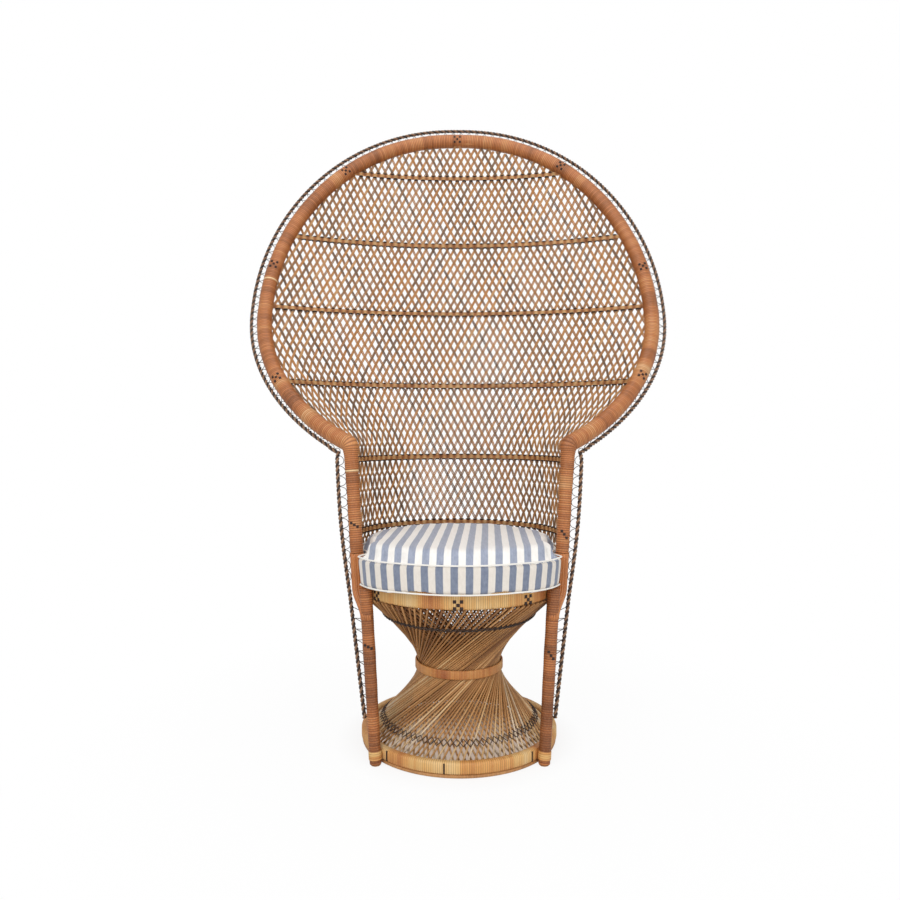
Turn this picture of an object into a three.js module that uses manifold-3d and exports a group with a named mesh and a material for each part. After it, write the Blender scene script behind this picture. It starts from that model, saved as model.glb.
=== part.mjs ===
// A rattan peacock chair: a tall fan back of crossed reeds on an hourglass base of leaning rods,
// with a loose round box cushion. Millimetres, +Z up, the sitter looks along -Y.
import * as THREE from 'three';
import { mergeVertices } from 'three/addons/utils/BufferGeometryUtils.js';
import Module from 'manifold-3d';

const wasm = await Module();
wasm.setup();

// Driving dimensions
const clearance = 0.3; // between pieces that touch
const overrun = 30; // how far a cutting body reaches past what it cuts
const weldDistance = 1e-4; // places this close are one vertex

const baseStepIn = 1; // how much smaller the wrapped base hoop is than the seat hoop
const baseHoopWidth = 18;
const baseHoopTop = 32;
const footHoopInset = 7.5; // from the outside of the base hoop to the middle of the foot hoop
const footHoopWidth = 11;
const footHoopHeight = 7;

const seatRadius = 217.5; // outside of the wrapped seat hoop
const seatHoopWidth = 25;
const seatHoopHeight = 37;
const seatHoopTop = 366;
const hoopCornerRadius = 5;
const seatDeckThickness = 9;

const rodCount = 32; // in each of the two families
const rodRadius = 2.4;
const waistRadius = 90; // centre line of the outer rods at the waist
const waistShare = 0.441; // heights on the hourglass, as shares of the way from hoop to hoop
const lowerTwineShare = 0.066;
const upperTwineShare = 0.825;
const rodFootDrop = 6.7; // from the top of the base hoop down to the feet of the outer rods
const rodTopDrop = 7; // from the seat hoop down to the rods' ends
const rodTopInset = 5.4; // from the outside of the seat hoop in to the outer rods
const waistFamilyStep = 5.2; // how much closer to the axis the inner rods run
const topFamilyStep = 10;
const innerFootDrop = 12.8;
const rodHoopRadius = 4; // the thin hoops that the rods end on
const rodHoopInset = 2;
const twineWidth = 3.6;
const twineHeight = 5;
const waistBandHeight = 19;
const waistBandWall = 4;

const poleTopRadius = 15; // at the shoulders, over the binding
const poleFootRadius = 12.2; // at the floor
const bindingWall = 1.6;
const legFootAzimuth = THREE.MathUtils.degToRad(49); // where a leg stands at the base hoop, from the front
const legTopAzimuth = THREE.MathUtils.degToRad(57.3); // where it leans against the seat hoop
const legTopDrop = 14; // from the top of the seat hoop
const postAzimuth = THREE.MathUtils.degToRad(66.5); // where a post stands against the seat hoop
const postFootRise = 2; // from the bottom of the seat hoop
const postSplayShare = 0.07; // how far a post leans out and back for its height
const postLeanShare = 0.081;
const shoulderHeight = 651;
const postTopDrop = 8; // the hoop's end lies over the top of the post
const bindingFootRise = 2;
const bindingTopDrop = 46;

const fanHalfWidth = 481; // centre line of the fan hoop
const fanWidestHeight = 985;
const fanRise = 504;
const fanHoopRadius = 18.5; // over the binding
const fanTopDepth = 415; // how far behind the axis the top of the fan lies
const fanLeanPower = 1.47;
const fanSteps = 40;
const bindingEndShare = 0.965; // of the hoop's half turn

const backFootGap = 11.5; // from the outside of the seat hoop back to the weave, at the middle
const crownRise = 15; // from the widest height up to where the columns of the weave run straight
const reedWidth = 5.6;
const reedThickness = 3.4;
const reedTurn = Math.PI / 6; // between a reed and the upright
const columnCount = 24;
const crownBandShares = [0.757, 0.368]; // of the way from the crown's start to the top of the fan
const lowerBandShares = [0.653, 0.4, 0.126]; // of the way from the rail to the crown's start
const bandWidth = 9.6;
const bandThickness = 3;
const bandLift = 0.6; // between a band and the reeds behind it
const railWidth = 20;
const railHeight = 20;

const braidRadius = 4.5;
const braidGapAtSides = 11; // between the frame and the braid
const braidGapAtTop = 8;
const braidGapAtShoulder = 4;
const braidBehind = 7;
const braidFootHeight = 90;
const braidShoulderDrop = 33; // the braid leaves the post this far below the shoulder
const braidFootGap = 1.2; // between the leg and the braid
const braidSeatGap = 0.5; // between the post and the braid at the seat hoop
const braidPostTopGap = 10;
const braidBow = 5; // how far it bows out between the seat and the shoulder
const braidStartShare = 0.985; // of the hoop's half turn, where the braid meets the hoop
const braidOpenShares = [0.05, 0.32]; // of its way up the hoop, where its gap opens
const scallopWireRadius = 1.3;
const scallopLegShare = 0.88; // how much of the braid beside a leg is tied on
const scallopPostShare = 0.2; // of the post's height, where the loops beside it start

const cushionOverhang = 3.5; // past the outside of the seat hoop, at the sides
const cushionForward = 8;
const cushionSegments = 72;
const frontSwell = 20; // how much further the cushion reaches out at the front
const cornerSwell = 28; // and in front of the posts
const swellEnds = [56.5, 64.5].map(THREE.MathUtils.degToRad); // where the swell falls away, from the front
const cushionSideHeight = 56;
const cushionCrown = 27;
const crownShares = [0.85, 0.66, 0.4]; // of the cushion's radius
const crownPower = 0.7;
const cushionBelly = 2.2; // how much the lower face sags at its rim
const pipingRadius = 3.4;
const sideDrawIn = 5;
const postDent = 10; // where the cushion gives way to a post
const postDentAzimuth = THREE.MathUtils.degToRad(69.8);
const postDentWidth = THREE.MathUtils.degToRad(9);
const postDentPower = 4;

const lashingWall = 2.2;
const lashingMargin = 4; // between a foot lashing and the edges of the base ring
const seatLashingRise = 54; // how far the lashing at a post's foot reaches above the seat hoop

// Sizes that follow from the driving dimensions
const baseRadius = seatRadius - baseStepIn;
const seatHoopBottom = seatHoopTop - seatHoopHeight;
const betweenHoops = (share) => THREE.MathUtils.lerp(baseHoopTop, seatHoopBottom, share);
const waistHeight = betweenHoops(waistShare);
const lowerTwineHeight = betweenHoops(lowerTwineShare);
const upperTwineHeight = betweenHoops(upperTwineShare);
const footContactHeight = (footHoopHeight + clearance + baseHoopTop) / 2;
const seatContactHeight = (seatHoopBottom + seatHoopTop) / 2;
const legTop = seatHoopTop - legTopDrop;
const postFoot = seatHoopBottom + postFootRise;
const seatLashingTop = seatHoopTop + seatLashingRise;
const railTop = seatHoopTop;
const crownStart = fanWidestHeight + crownRise;
const fanTop = fanWidestHeight + fanRise;
const bandHeights = [
  ...crownBandShares.map((share) => THREE.MathUtils.lerp(crownStart, fanTop, share)),
  crownStart,
  ...lowerBandShares.map((share) => THREE.MathUtils.lerp(railTop, crownStart, share)),
];

// Colours
const wrapColour = 0xb9703f;
const caneColour = 0xc9a26b;
const rodColour = 0xa5794a;
const weaveColour = 0x9a7350;
const darkColour = 0x3a2620;
const braidColour = 0x6b4a33;
const cushionColour = 0x8593ae;
const poleColour = 0xb98a58;

const chair = new THREE.Group();

// Adds a named piece with its own material.
function addPiece(name, geometry, color, roughness = 0.6) {
  const piece = new THREE.Mesh(geometry, new THREE.MeshStandardMaterial({ color, roughness, metalness: 0 }));
  piece.name = name;
  chair.add(piece);
  return piece;
}

// Keeps only the places, merges shared vertices, and drops triangles without area.
function welded(geometry) {
  const bare = new THREE.BufferGeometry();
  bare.setAttribute('position', geometry.getAttribute('position'));
  bare.setIndex(geometry.index);
  const merged = mergeVertices(bare, weldDistance);
  const kept = [];
  const index = merged.index.array;
  for (let i = 0; i < index.length; i += 3) {
    const [a, b, c] = [index[i], index[i + 1], index[i + 2]];
    if (a !== b && b !== c && c !== a) kept.push(a, b, c);
  }
  merged.setIndex(kept);
  return merged;
}

// Turns the faces of a closed body outwards.
function facingOut(geometry) {
  const body = welded(geometry);
  const place = body.getAttribute('position');
  const index = body.index.array;
  const corners = [new THREE.Vector3(), new THREE.Vector3(), new THREE.Vector3()];
  let volume = 0;
  for (let i = 0; i < index.length; i += 3) {
    corners.forEach((corner, k) => corner.fromBufferAttribute(place, index[i + k]));
    volume += corners[0].dot(corners[1].clone().cross(corners[2]));
  }
  if (volume < 0) {
    for (let i = 0; i < index.length; i += 3) {
      [index[i + 1], index[i + 2]] = [index[i + 2], index[i + 1]];
    }
  }
  return body;
}

// A geometry as a solid that can be joined and cut.
function solidOf(geometry) {
  const body = facingOut(geometry);
  return new wasm.Manifold(new wasm.Mesh({
    numProp: 3,
    vertProperties: new Float32Array(body.getAttribute('position').array),
    triVerts: new Uint32Array(body.index.array),
  }));
}

// The largest body of a solid, as a geometry.
function geometryOf(solid) {
  const bodies = solid.decompose().sort((a, b) => b.volume() - a.volume());
  const mesh = bodies[0].getMesh();
  const geometry = new THREE.BufferGeometry();
  geometry.setAttribute('position', new THREE.BufferAttribute(new Float32Array(mesh.vertProperties), 3));
  geometry.setIndex(new THREE.BufferAttribute(new Uint32Array(mesh.triVerts), 1));
  return geometry;
}

function joined(solids) {
  return solids.reduce((sum, solid) => sum.add(solid));
}

// A run of straight lengths, whose corners are the stations of a sweep along it.
class Run extends THREE.Curve {
  constructor(points) {
    super();
    this.points = points;
  }

  getPoint(t) {
    const last = this.points.length - 1;
    const place = t * last;
    const start = Math.min(Math.floor(place), last - 1);
    return this.points[start].clone().lerp(this.points[start + 1], place - start);
  }

  getPointAt(share) {
    return this.getPoint(share);
  }

  getTangentAt(share) {
    return this.getTangent(share);
  }
}

function polygon(radius, sides) {
  return Array.from({ length: sides }, (_, k) => {
    const angle = (k + 0.5) * 2 * Math.PI / sides;
    return new THREE.Vector2(radius * Math.cos(angle), radius * Math.sin(angle));
  });
}

function evenly(from, to, steps) {
  return Array.from({ length: steps + 1 }, (_, k) => THREE.MathUtils.lerp(from, to, k / steps));
}

// Sweeps a section along a run of points.
function swept(shape, points) {
  return new THREE.ExtrudeGeometry(shape, {
    steps: points.length - 1, extrudePath: new Run(points), bevelEnabled: false,
  });
}

// The same run, drawn out straight past both ends.
function drawnOut(points, reach) {
  const past = (end, inner) => end.clone().add(end.clone().sub(inner).setLength(reach));
  return [past(points[0], points[1]), ...points, past(points.at(-1), points.at(-2))];
}

function tube(points, radius, sides) {
  return swept(new THREE.Shape(polygon(radius, sides)), points);
}

// A sleeve round a tube along the same points.
function sleeve(points, outerRadius, innerRadius, sides) {
  const shape = new THREE.Shape(polygon(outerRadius, sides));
  shape.holes.push(new THREE.Path(polygon(innerRadius, sides)));
  return swept(shape, points);
}

// A hoop round the Z axis from a closed section of radius and height pairs.
const hoopSegments = 32;
function hoop(section, segments = hoopSegments) {
  const profile = section.map(([radius, height]) => new THREE.Vector2(radius, height));
  profile.push(profile[0].clone());
  return new THREE.LatheGeometry(profile, segments).rotateX(Math.PI / 2);
}

// The section of a hoop with its four corners cut back.
function roundedSection(inner, outer, bottom, top, corner) {
  return [
    [inner + corner, bottom], [outer - corner, bottom], [outer, bottom + corner], [outer, top - corner],
    [outer - corner, top], [inner + corner, top], [inner, top - corner], [inner, bottom + corner],
  ];
}

// A round section of a hoop, as a few-sided polygon.
function roundSection(radius, height, thickness, sides) {
  return polygon(thickness, sides).map((corner) => [radius + corner.x, height + corner.y]);
}

// The radius that keeps the flats of a faceted hoop outside a round one.
function roundedUp(radius) {
  return radius / Math.cos(Math.PI / hoopSegments);
}

// Base ring
const footHoopRadius = baseRadius - footHoopInset;
addPiece('foot_hoop', hoop([
  [footHoopRadius - footHoopWidth / 2, 0],
  [footHoopRadius + footHoopWidth / 2, 0],
  [footHoopRadius + footHoopWidth / 2, footHoopHeight / 2],
  [footHoopRadius, footHoopHeight],
  [footHoopRadius - footHoopWidth / 2, footHoopHeight / 2],
]), wrapColour, 0.5);
const baseInnerRadius = baseRadius - baseHoopWidth;
const baseHoopSection = roundedSection(
  baseInnerRadius, baseRadius, footHoopHeight + clearance, baseHoopTop, hoopCornerRadius,
);
addPiece('base_hoop', hoop(baseHoopSection), caneColour);

// Seat hoop and deck
const seatInnerRadius = seatRadius - seatHoopWidth;
const seatHoopSection = roundedSection(
  seatInnerRadius, seatRadius, seatHoopBottom, seatHoopTop, hoopCornerRadius,
);
addPiece('seat_hoop', hoop(seatHoopSection), caneColour);
const deckRadius = seatInnerRadius - clearance;
const deckTop = seatHoopTop - hoopCornerRadius;
addPiece('seat_deck', new THREE.CylinderGeometry(deckRadius, deckRadius, seatDeckThickness, hoopSegments)
  .rotateX(Math.PI / 2)
  .translate(0, 0, deckTop - seatDeckThickness / 2), weaveColour, 0.8);

// The hourglass. Each rod is straight above and below the waist, and passes the axis at the waist radius.
function rodFamily(waist, foot, top, turn) {
  const flareTo = (end) => (end.radius ** 2 - waist ** 2) / (end.height - waistHeight) ** 2;
  const [lowerFlare, upperFlare] = [flareTo(foot), flareTo(top)];
  const flareAt = (height) => (height < waistHeight ? lowerFlare : upperFlare);
  const radiusAt = (height) => Math.sqrt(waist ** 2 + flareAt(height) * (height - waistHeight) ** 2);
  const pointAt = (height, start) => {
    const travel = Math.sqrt(flareAt(height)) * (height - waistHeight);
    const angle = start + turn * Math.atan2(travel, waist);
    const radius = radiusAt(height);
    return new THREE.Vector3(radius * Math.cos(angle), radius * Math.sin(angle), height);
  };
  // The outside of the rods at a height, across a wall that slopes.
  const outsideAt = (height) => {
    const slope = flareAt(height) * (height - waistHeight) / radiusAt(height);
    return radiusAt(height) + rodRadius * Math.hypot(1, slope);
  };
  return { radiusAt, outsideAt, pointAt };
}

function rods(family, bottom, top, hoops) {
  const bodies = Array.from({ length: rodCount }, (_, k) => {
    const start = k * 2 * Math.PI / rodCount;
    const points = [bottom, waistHeight, top].map((height) => family.pointAt(height, start));
    return solidOf(tube(points, rodRadius, 4));
  });
  return geometryOf(joined([...bodies, ...hoops.map(solidOf)]));
}

const rodTop = seatHoopBottom - rodTopDrop;
const rodHoopHeight = seatHoopBottom - clearance - rodHoopRadius;
const outerFoot = { radius: baseInnerRadius - clearance - rodRadius, height: baseHoopTop - rodFootDrop };
const outerTop = { radius: seatRadius - rodTopInset, height: rodTop };
const outerFamily = rodFamily(waistRadius, outerFoot, outerTop, 1);
const innerFoot = {
  radius: baseInnerRadius * Math.cos(Math.PI / hoopSegments) - clearance - rodHoopRadius,
  height: baseHoopTop - innerFootDrop,
};
const innerTop = { radius: outerTop.radius - topFamilyStep, height: rodTop };
const innerFamily = rodFamily(waistRadius - waistFamilyStep, innerFoot, innerTop, -1);
const rodHoopAt = (radius, height) => hoop(roundSection(radius, height, rodHoopRadius, 4));
addPiece('outer_rods', rods(outerFamily, outerFoot.height, rodTop, [
  rodHoopAt(outerTop.radius - rodHoopInset, rodHoopHeight),
]), rodColour, 0.45);
addPiece('inner_rods', rods(innerFamily, innerFoot.height, rodTop, [
  rodHoopAt(innerTop.radius - rodHoopInset, rodHoopHeight),
  rodHoopAt(innerFoot.radius, innerFoot.height),
]), rodColour, 0.45);

// Twine rings and waist band round the outer rods
function ringRound(height, ringHeight, wall) {
  const inner = roundedUp(Math.max(
    outerFamily.outsideAt(height - ringHeight / 2), outerFamily.outsideAt(height + ringHeight / 2),
  ) + clearance);
  return hoop([
    [inner, height - ringHeight / 2], [inner + wall, height - ringHeight / 2],
    [inner + wall, height + ringHeight / 2], [inner, height + ringHeight / 2],
  ]);
}
addPiece('lower_twine_ring', ringRound(lowerTwineHeight, twineHeight, twineWidth), darkColour, 0.7);
addPiece('upper_twine_ring', ringRound(upperTwineHeight, twineHeight, twineWidth), darkColour, 0.7);
addPiece('waist_band', ringRound(waistHeight, waistBandHeight, waistBandWall), caneColour);

// Legs and posts. A leg stands against the base hoop and leans against the seat hoop.
// A post stands against the seat hoop, behind the leg, and carries the fan.
const poleRadiusAt = (height) => (
  THREE.MathUtils.mapLinear(height, 0, shoulderHeight, poleFootRadius, poleTopRadius)
);
const contact = (hoopRadius, azimuth, height) => {
  const reach = hoopRadius + clearance + poleRadiusAt(height);
  return new THREE.Vector3(reach * Math.sin(azimuth), -reach * Math.cos(azimuth), height);
};
const footContact = contact(baseRadius, legFootAzimuth, footContactHeight);
const legContact = contact(seatRadius, legTopAzimuth, seatContactHeight);
const postContact = contact(seatRadius, postAzimuth, postFoot);
// Centres of the leg and the post on the +X side at a height.
function legPoint(height) {
  const share = (height - footContactHeight) / (seatContactHeight - footContactHeight);
  return footContact.clone().lerp(legContact, share);
}
function postPoint(height) {
  const rise = height - postFoot;
  return postContact.clone().add(new THREE.Vector3(postSplayShare * rise, postLeanShare * rise, rise));
}

// A pole or sleeve round a leaning line, with level ends.
function alongPole(line, bottom, top, outerOffset, innerOffset) {
  const profile = [
    new THREE.Vector2(poleRadiusAt(bottom) + outerOffset, bottom),
    new THREE.Vector2(poleRadiusAt(top) + outerOffset, top),
  ];
  if (innerOffset === undefined) {
    profile.unshift(new THREE.Vector2(0, bottom));
    profile.push(new THREE.Vector2(0, top));
  } else {
    profile.push(new THREE.Vector2(poleRadiusAt(top) + innerOffset, top));
    profile.push(new THREE.Vector2(poleRadiusAt(bottom) + innerOffset, bottom));
    profile.push(profile[0].clone());
  }
  const pole = new THREE.LatheGeometry(profile, 8).rotateX(Math.PI / 2);
  const place = pole.getAttribute('position');
  for (let i = 0; i < place.count; i += 1) {
    const centre = line(place.getZ(i));
    place.setX(i, place.getX(i) + centre.x);
    place.setY(i, place.getY(i) + centre.y);
  }
  return pole;
}

// The fan hoop: two half ellipses seen from the front, leaning back towards the top.
// The lower half ellipse is as deep as it takes to meet the posts at the shoulders.
const shoulder = postPoint(shoulderHeight);
const shoulderTurn = Math.PI - Math.asin(shoulder.x / fanHalfWidth);
const fanDrop = (shoulderHeight - fanWidestHeight) / Math.cos(shoulderTurn);
function fanPoint(turn) {
  const height = Math.cos(turn);
  const lean = (Math.abs(turn) / shoulderTurn) ** fanLeanPower;
  return new THREE.Vector3(
    fanHalfWidth * Math.sin(turn),
    THREE.MathUtils.lerp(fanTopDepth, shoulder.y, lean),
    fanWidestHeight + height * (height > 0 ? fanRise : fanDrop),
  );
}
function fanRun(from, to, steps) {
  return Array.from({ length: steps + 1 }, (_, k) => fanPoint(THREE.MathUtils.lerp(from, to, k / steps)));
}
const fanStations = fanRun(-shoulderTurn, shoulderTurn, fanSteps);
const coreOffset = -bindingWall - clearance;
const fanCoreRadius = fanHoopRadius + coreOffset;
const postTop = shoulderHeight - postTopDrop;
const bindingEndHeight = fanPoint(shoulderTurn * bindingEndShare).z;

// A piece for each side, made on the +X side and mirrored for the other.
function addPair(name, geometry, colour, roughness) {
  const right = facingOut(geometry);
  addPiece(`right_${name}`, right, colour, roughness);
  addPiece(`left_${name}`, facingOut(right.clone().scale(-1, 1, 1)), colour, roughness);
}
function mirrored(geometry) {
  return facingOut(geometry.clone().scale(-1, 1, 1));
}

addPair('leg', alongPole(legPoint, 0, legTop, coreOffset), poleColour);
addPair('leg_binding', alongPole(legPoint, bindingFootRise, legTop, 0, -bindingWall), wrapColour);
addPair('post', alongPole(postPoint, postFoot, postTop, coreOffset), poleColour);
addPair('post_binding', alongPole(
  postPoint, seatLashingTop + clearance, postTop - bindingTopDrop, 0, -bindingWall,
), wrapColour);
const postSocket = alongPole(postPoint, postFoot - overrun, postTop + clearance, coreOffset + clearance);
const postSockets = solidOf(postSocket).add(solidOf(mirrored(postSocket)));
addPiece('fan_hoop', geometryOf(
  solidOf(tube(fanStations, fanCoreRadius, 8)).subtract(postSockets),
), poleColour);
// A block that holds all of the fan above a height.
function blockAbove(height) {
  const size = 4 * fanHalfWidth;
  return solidOf(new THREE.BoxGeometry(size, size, size).translate(0, 0, height + size / 2));
}
addPiece('fan_hoop_binding', geometryOf(
  solidOf(sleeve(fanStations, fanHoopRadius, fanHoopRadius - bindingWall, 8))
    .intersect(blockAbove(bindingEndHeight)),
), wrapColour);

// Lashings of cane, open towards the hoop: one round each leg at the base hoop,
// and one round each post from its foot to above the seat hoop
const besideBase = solidOf(hoop(roundedSection(
  baseInnerRadius, baseRadius + clearance, footHoopHeight, baseHoopTop + clearance, hoopCornerRadius,
)));
const besideSeat = solidOf(hoop(roundedSection(
  seatInnerRadius, seatRadius + clearance,
  seatHoopBottom - clearance, seatHoopTop + clearance, hoopCornerRadius,
)));
addPair('foot_lashing', geometryOf(solidOf(alongPole(
  legPoint, footHoopHeight + lashingMargin, baseHoopTop - lashingMargin, clearance + lashingWall, clearance,
)).subtract(besideBase)), caneColour);
addPair('seat_lashing', geometryOf(
  solidOf(alongPole(postPoint, postFoot, seatLashingTop, lashingWall))
    .subtract(besideSeat).subtract(postSockets),
), caneColour);

// Lashing round the shoulder: a sleeve on the end of the fan hoop joined to a sleeve on the post
const bareLength = { from: postTop - bindingTopDrop + clearance, to: bindingEndHeight - clearance };
const fatFan = solidOf(tube(fanStations, fanHoopRadius + lashingWall, 8));
const fatFanEnd = fatFan.subtract(blockAbove(bareLength.to)).decompose()
  .find((body) => body.boundingBox().min[0] > 0);
const fanHollow = solidOf(tube(drawnOut(fanStations, clearance), fanCoreRadius + clearance, 8));
addPair('shoulder_lashing', geometryOf(
  fatFanEnd.add(solidOf(alongPole(postPoint, bareLength.from, postTop, lashingWall)))
    .subtract(fanHollow).subtract(postSockets),
), caneColour);

// The surface of the back: at each height an arc from frame to frame through the middle of the back.
function frameAt(height) {
  if (height < shoulder.z) return postPoint(height);
  const rise = height > fanWidestHeight ? fanRise : fanDrop;
  return fanPoint(Math.acos(THREE.MathUtils.clamp((height - fanWidestHeight) / rise, -1, 1)));
}
const backFootDepth = seatRadius + backFootGap;
const backLean = (fanTopDepth - backFootDepth) / (fanTop - railTop);
function arcAt(height) {
  const edge = frameAt(Math.min(height, crownStart));
  const middle = backFootDepth + backLean * (Math.min(height, crownStart) - railTop);
  const depth = middle - edge.y;
  const radius = (edge.x ** 2 + depth ** 2) / (2 * depth);
  const reach = Math.atan2(edge.x, radius - depth);
  if (height <= crownStart) return { radius, reach, centre: middle - radius };
  const rim = frameAt(height);
  return { radius, reach: Math.asin(rim.x / radius), centre: rim.y - Math.sqrt(radius ** 2 - rim.x ** 2) };
}
function arcPoint(arc, turn, height) {
  return new THREE.Vector3(arc.radius * Math.sin(turn), arc.centre + arc.radius * Math.cos(turn), height);
}

// How far round the arc the reeds reach before they meet the frame
const hubHalfWidth = reedWidth / 2 / Math.cos(reedTurn);
const hubHalfHeight = reedWidth / 2 / Math.sin(reedTurn);
function lashed(height) {
  const onShoulder = height > bareLength.from && height < bareLength.to;
  return onShoulder || height < seatLashingTop + lashingMargin ? lashingWall : 0;
}
const framePoints = [
  ...fanRun(0, shoulderTurn, 400).map((point) => ({ point, radius: fanHoopRadius + lashed(point.z) })),
  ...evenly(postFoot, postTop, 200).map(postPoint)
    .map((point) => ({ point, radius: poleRadiusAt(point.z) + lashed(point.z) })),
];
function openTurn(height) {
  const arc = arcAt(height);
  const clear = (turn) => {
    const place = arcPoint(arc, turn, height);
    return framePoints.every(({ point, radius }) => point.distanceTo(place) > radius + clearance * 2);
  };
  let [open, shut] = [arc.reach / 2, arc.reach];
  for (let k = 0; k < 24; k += 1) {
    const middle = (open + shut) / 2;
    if (clear(middle)) open = middle;
    else shut = middle;
  }
  return open;
}
// The turn that a full share of the width stands for: above the crown's start the columns run straight up.
const fullTurns = new Map();
function fullTurn(height) {
  const level = Math.min(height, crownStart);
  if (!fullTurns.has(level)) fullTurns.set(level, openTurn(level));
  return fullTurns.get(level);
}
function weavePoint(share, height) {
  return arcPoint(arcAt(height), share * fullTurn(height), height);
}
// Square to the weave, towards the sitter.
const smallShare = 0.01;
function weaveNormal(share, height) {
  const step = reedWidth / 2;
  const across = weavePoint(share + smallShare, height).sub(weavePoint(share - smallShare, height));
  const up = weavePoint(share, height + step).sub(weavePoint(share, height - step));
  return across.cross(up).normalize();
}

// A net of flat reeds from one share of the width to another, with a row of crossings at each height.
// Hubs are the crossings, and a bar joins each hub to the next along a reed.
function net(fromShare, toShare, columns, heights) {
  const width = arcAt(heights[0]).radius * fullTurn(heights[0]);
  const inset = (hubHalfWidth + clearance / 2) / width;
  const levels = heights.map((height, j) => {
    if (j === 0) return height + hubHalfHeight + clearance / 2;
    if (j === heights.length - 1) return height - hubHalfHeight - clearance / 2;
    return height;
  });
  const hubs = new Map();
  const places = [];
  const triangles = [];
  const quad = (a, b, c, d) => triangles.push(a, b, c, a, c, d);
  const hubAt = (i, j) => hubs.get(`${i},${j}`);
  for (let j = 0; j < levels.length; j += 1) {
    for (let i = j % 2; i <= columns; i += 2) {
      const share = THREE.MathUtils.lerp(fromShare + inset, toShare - inset, i / columns);
      const stepAcross = hubHalfWidth / width;
      const corners = [[1, 0], [0, 1], [-1, 0], [0, -1]].map(([across, up]) => (
        weavePoint(share + across * stepAcross, levels[j] + up * hubHalfHeight)
      ));
      const normal = corners[0].clone().sub(corners[2]).cross(corners[1].clone().sub(corners[3])).normalize();
      const hub = { front: [], back: [] };
      corners.forEach((corner) => {
        hub.front.push(places.push(corner.clone().addScaledVector(normal, reedThickness / 2)) - 1);
        hub.back.push(places.push(corner.clone().addScaledVector(normal, -reedThickness / 2)) - 1);
      });
      hubs.set(`${i},${j}`, hub);
      quad(...hub.front);
      quad(...hub.back.slice().reverse());
    }
  }
  const wall = (hub, a, other, b) => quad(hub.front[a], hub.back[a], other.back[b], other.front[b]);
  for (const [key, hub] of hubs) {
    const [i, j] = key.split(',').map(Number);
    [[1, 1], [-1, 1], [-1, -1], [1, -1]].forEach(([across, up], k) => {
      const next = (k + 1) % 4;
      const other = hubAt(i + across, j + up);
      if (!other) wall(hub, k, hub, next);
      else if (up > 0) {
        const [near, far] = [(k + 3) % 4, (k + 2) % 4];
        quad(hub.front[k], other.front[near], other.front[far], hub.front[next]);
        quad(hub.back[next], other.back[far], other.back[near], hub.back[k]);
        wall(hub, k, other, near);
        wall(other, far, hub, next);
      }
    });
  }
  const geometry = new THREE.BufferGeometry().setFromPoints(places);
  geometry.setIndex(triangles);
  return geometry;
}
function addNets(name, sectors, heights, finish = (geometry) => facingOut(geometry)) {
  for (let k = 0; k < sectors; k += 1) {
    const from = -1 + 2 * k / sectors;
    const to = -1 + 2 * (k + 1) / sectors;
    addPiece(`${name}_${k + 1}`, finish(net(from, to, columnCount / sectors, heights)), weaveColour, 0.8);
  }
}
const [band1, , band3, band4, band5, band6] = bandHeights;
addNets('barrel_weave', 6, [railTop + clearance, band6, (band5 + band6) / 2, band5]);
addNets('shoulder_weave', 6, evenly(band5, band4, 2));
addNets('fan_weave', 4, evenly(band4, band3, 3));
const crownRow = (band1 - band3) / 6;
const crownStations = fanStations.filter((point) => point.z > crownStart - overrun);
const fanInside = crownStations.map((point, k, points) => {
  const before = points[Math.max(k - 1, 0)];
  const after = points[Math.min(k + 1, points.length - 1)];
  const outward = new THREE.Vector2(before.z - after.z, after.x - before.x).normalize();
  return new THREE.Vector2(point.x, point.z).addScaledVector(outward, -(fanHoopRadius + clearance * 3));
});
const insideShape = new THREE.Shape([
  ...fanInside,
  new THREE.Vector2(fanInside.at(-1).x, crownStart - 2 * overrun),
  new THREE.Vector2(fanInside[0].x, crownStart - 2 * overrun),
]);
const insideDepth = { depth: 2 * fanTopDepth, bevelEnabled: false };
const insideFan = solidOf(new THREE.ExtrudeGeometry(insideShape, insideDepth)
  .rotateX(Math.PI / 2)
  .translate(0, 2 * fanTopDepth, 0));
addNets(
  'crown_weave', 3, [...evenly(band3, band1, 6), band1 + crownRow, band1 + 2 * crownRow],
  (geometry) => geometryOf(solidOf(geometry).intersect(insideFan)),
);

// A body whose sections, each a ring of points, follow one another.
function lofted(rings) {
  const sides = rings[0].length;
  const triangles = [];
  for (let k = 0; k < rings.length - 1; k += 1) {
    for (let i = 0; i < sides; i += 1) {
      const [a, b] = [k * sides + i, k * sides + (i + 1) % sides];
      triangles.push(a, b, b + sides, a, b + sides, a + sides);
    }
  }
  const last = (rings.length - 1) * sides;
  for (let i = 1; i < sides - 1; i += 1) triangles.push(0, i + 1, i, last, last + i, last + i + 1);
  const geometry = new THREE.BufferGeometry().setFromPoints(rings.flat());
  geometry.setIndex(triangles);
  return facingOut(geometry);
}

// The horizontal bands: flat cane across the front of the weave, from frame to frame.
function bandSection(share, height) {
  const near = reedThickness / 2 + bandLift;
  const normal = weaveNormal(share, height);
  return [[-1, near], [1, near], [1, near + bandThickness], [-1, near + bandThickness]].map(([up, lift]) => (
    weavePoint(share, height + up * bandWidth / 2).addScaledVector(normal, lift)
  ));
}
bandHeights.forEach((height, k) => {
  const open = Math.min(openTurn(height - bandWidth / 2), openTurn(height + bandWidth / 2));
  const end = open / fullTurn(height) - bandThickness / (arcAt(height).radius * open);
  const inner = evenly(-1, 1, columnCount).filter((share) => Math.abs(share) < end - 1 / columnCount);
  const sections = [-end, ...inner, end].map((share) => bandSection(share, height));
  addPiece(`back_band_${k + 1}`, lofted(sections), caneColour);
});

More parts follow.
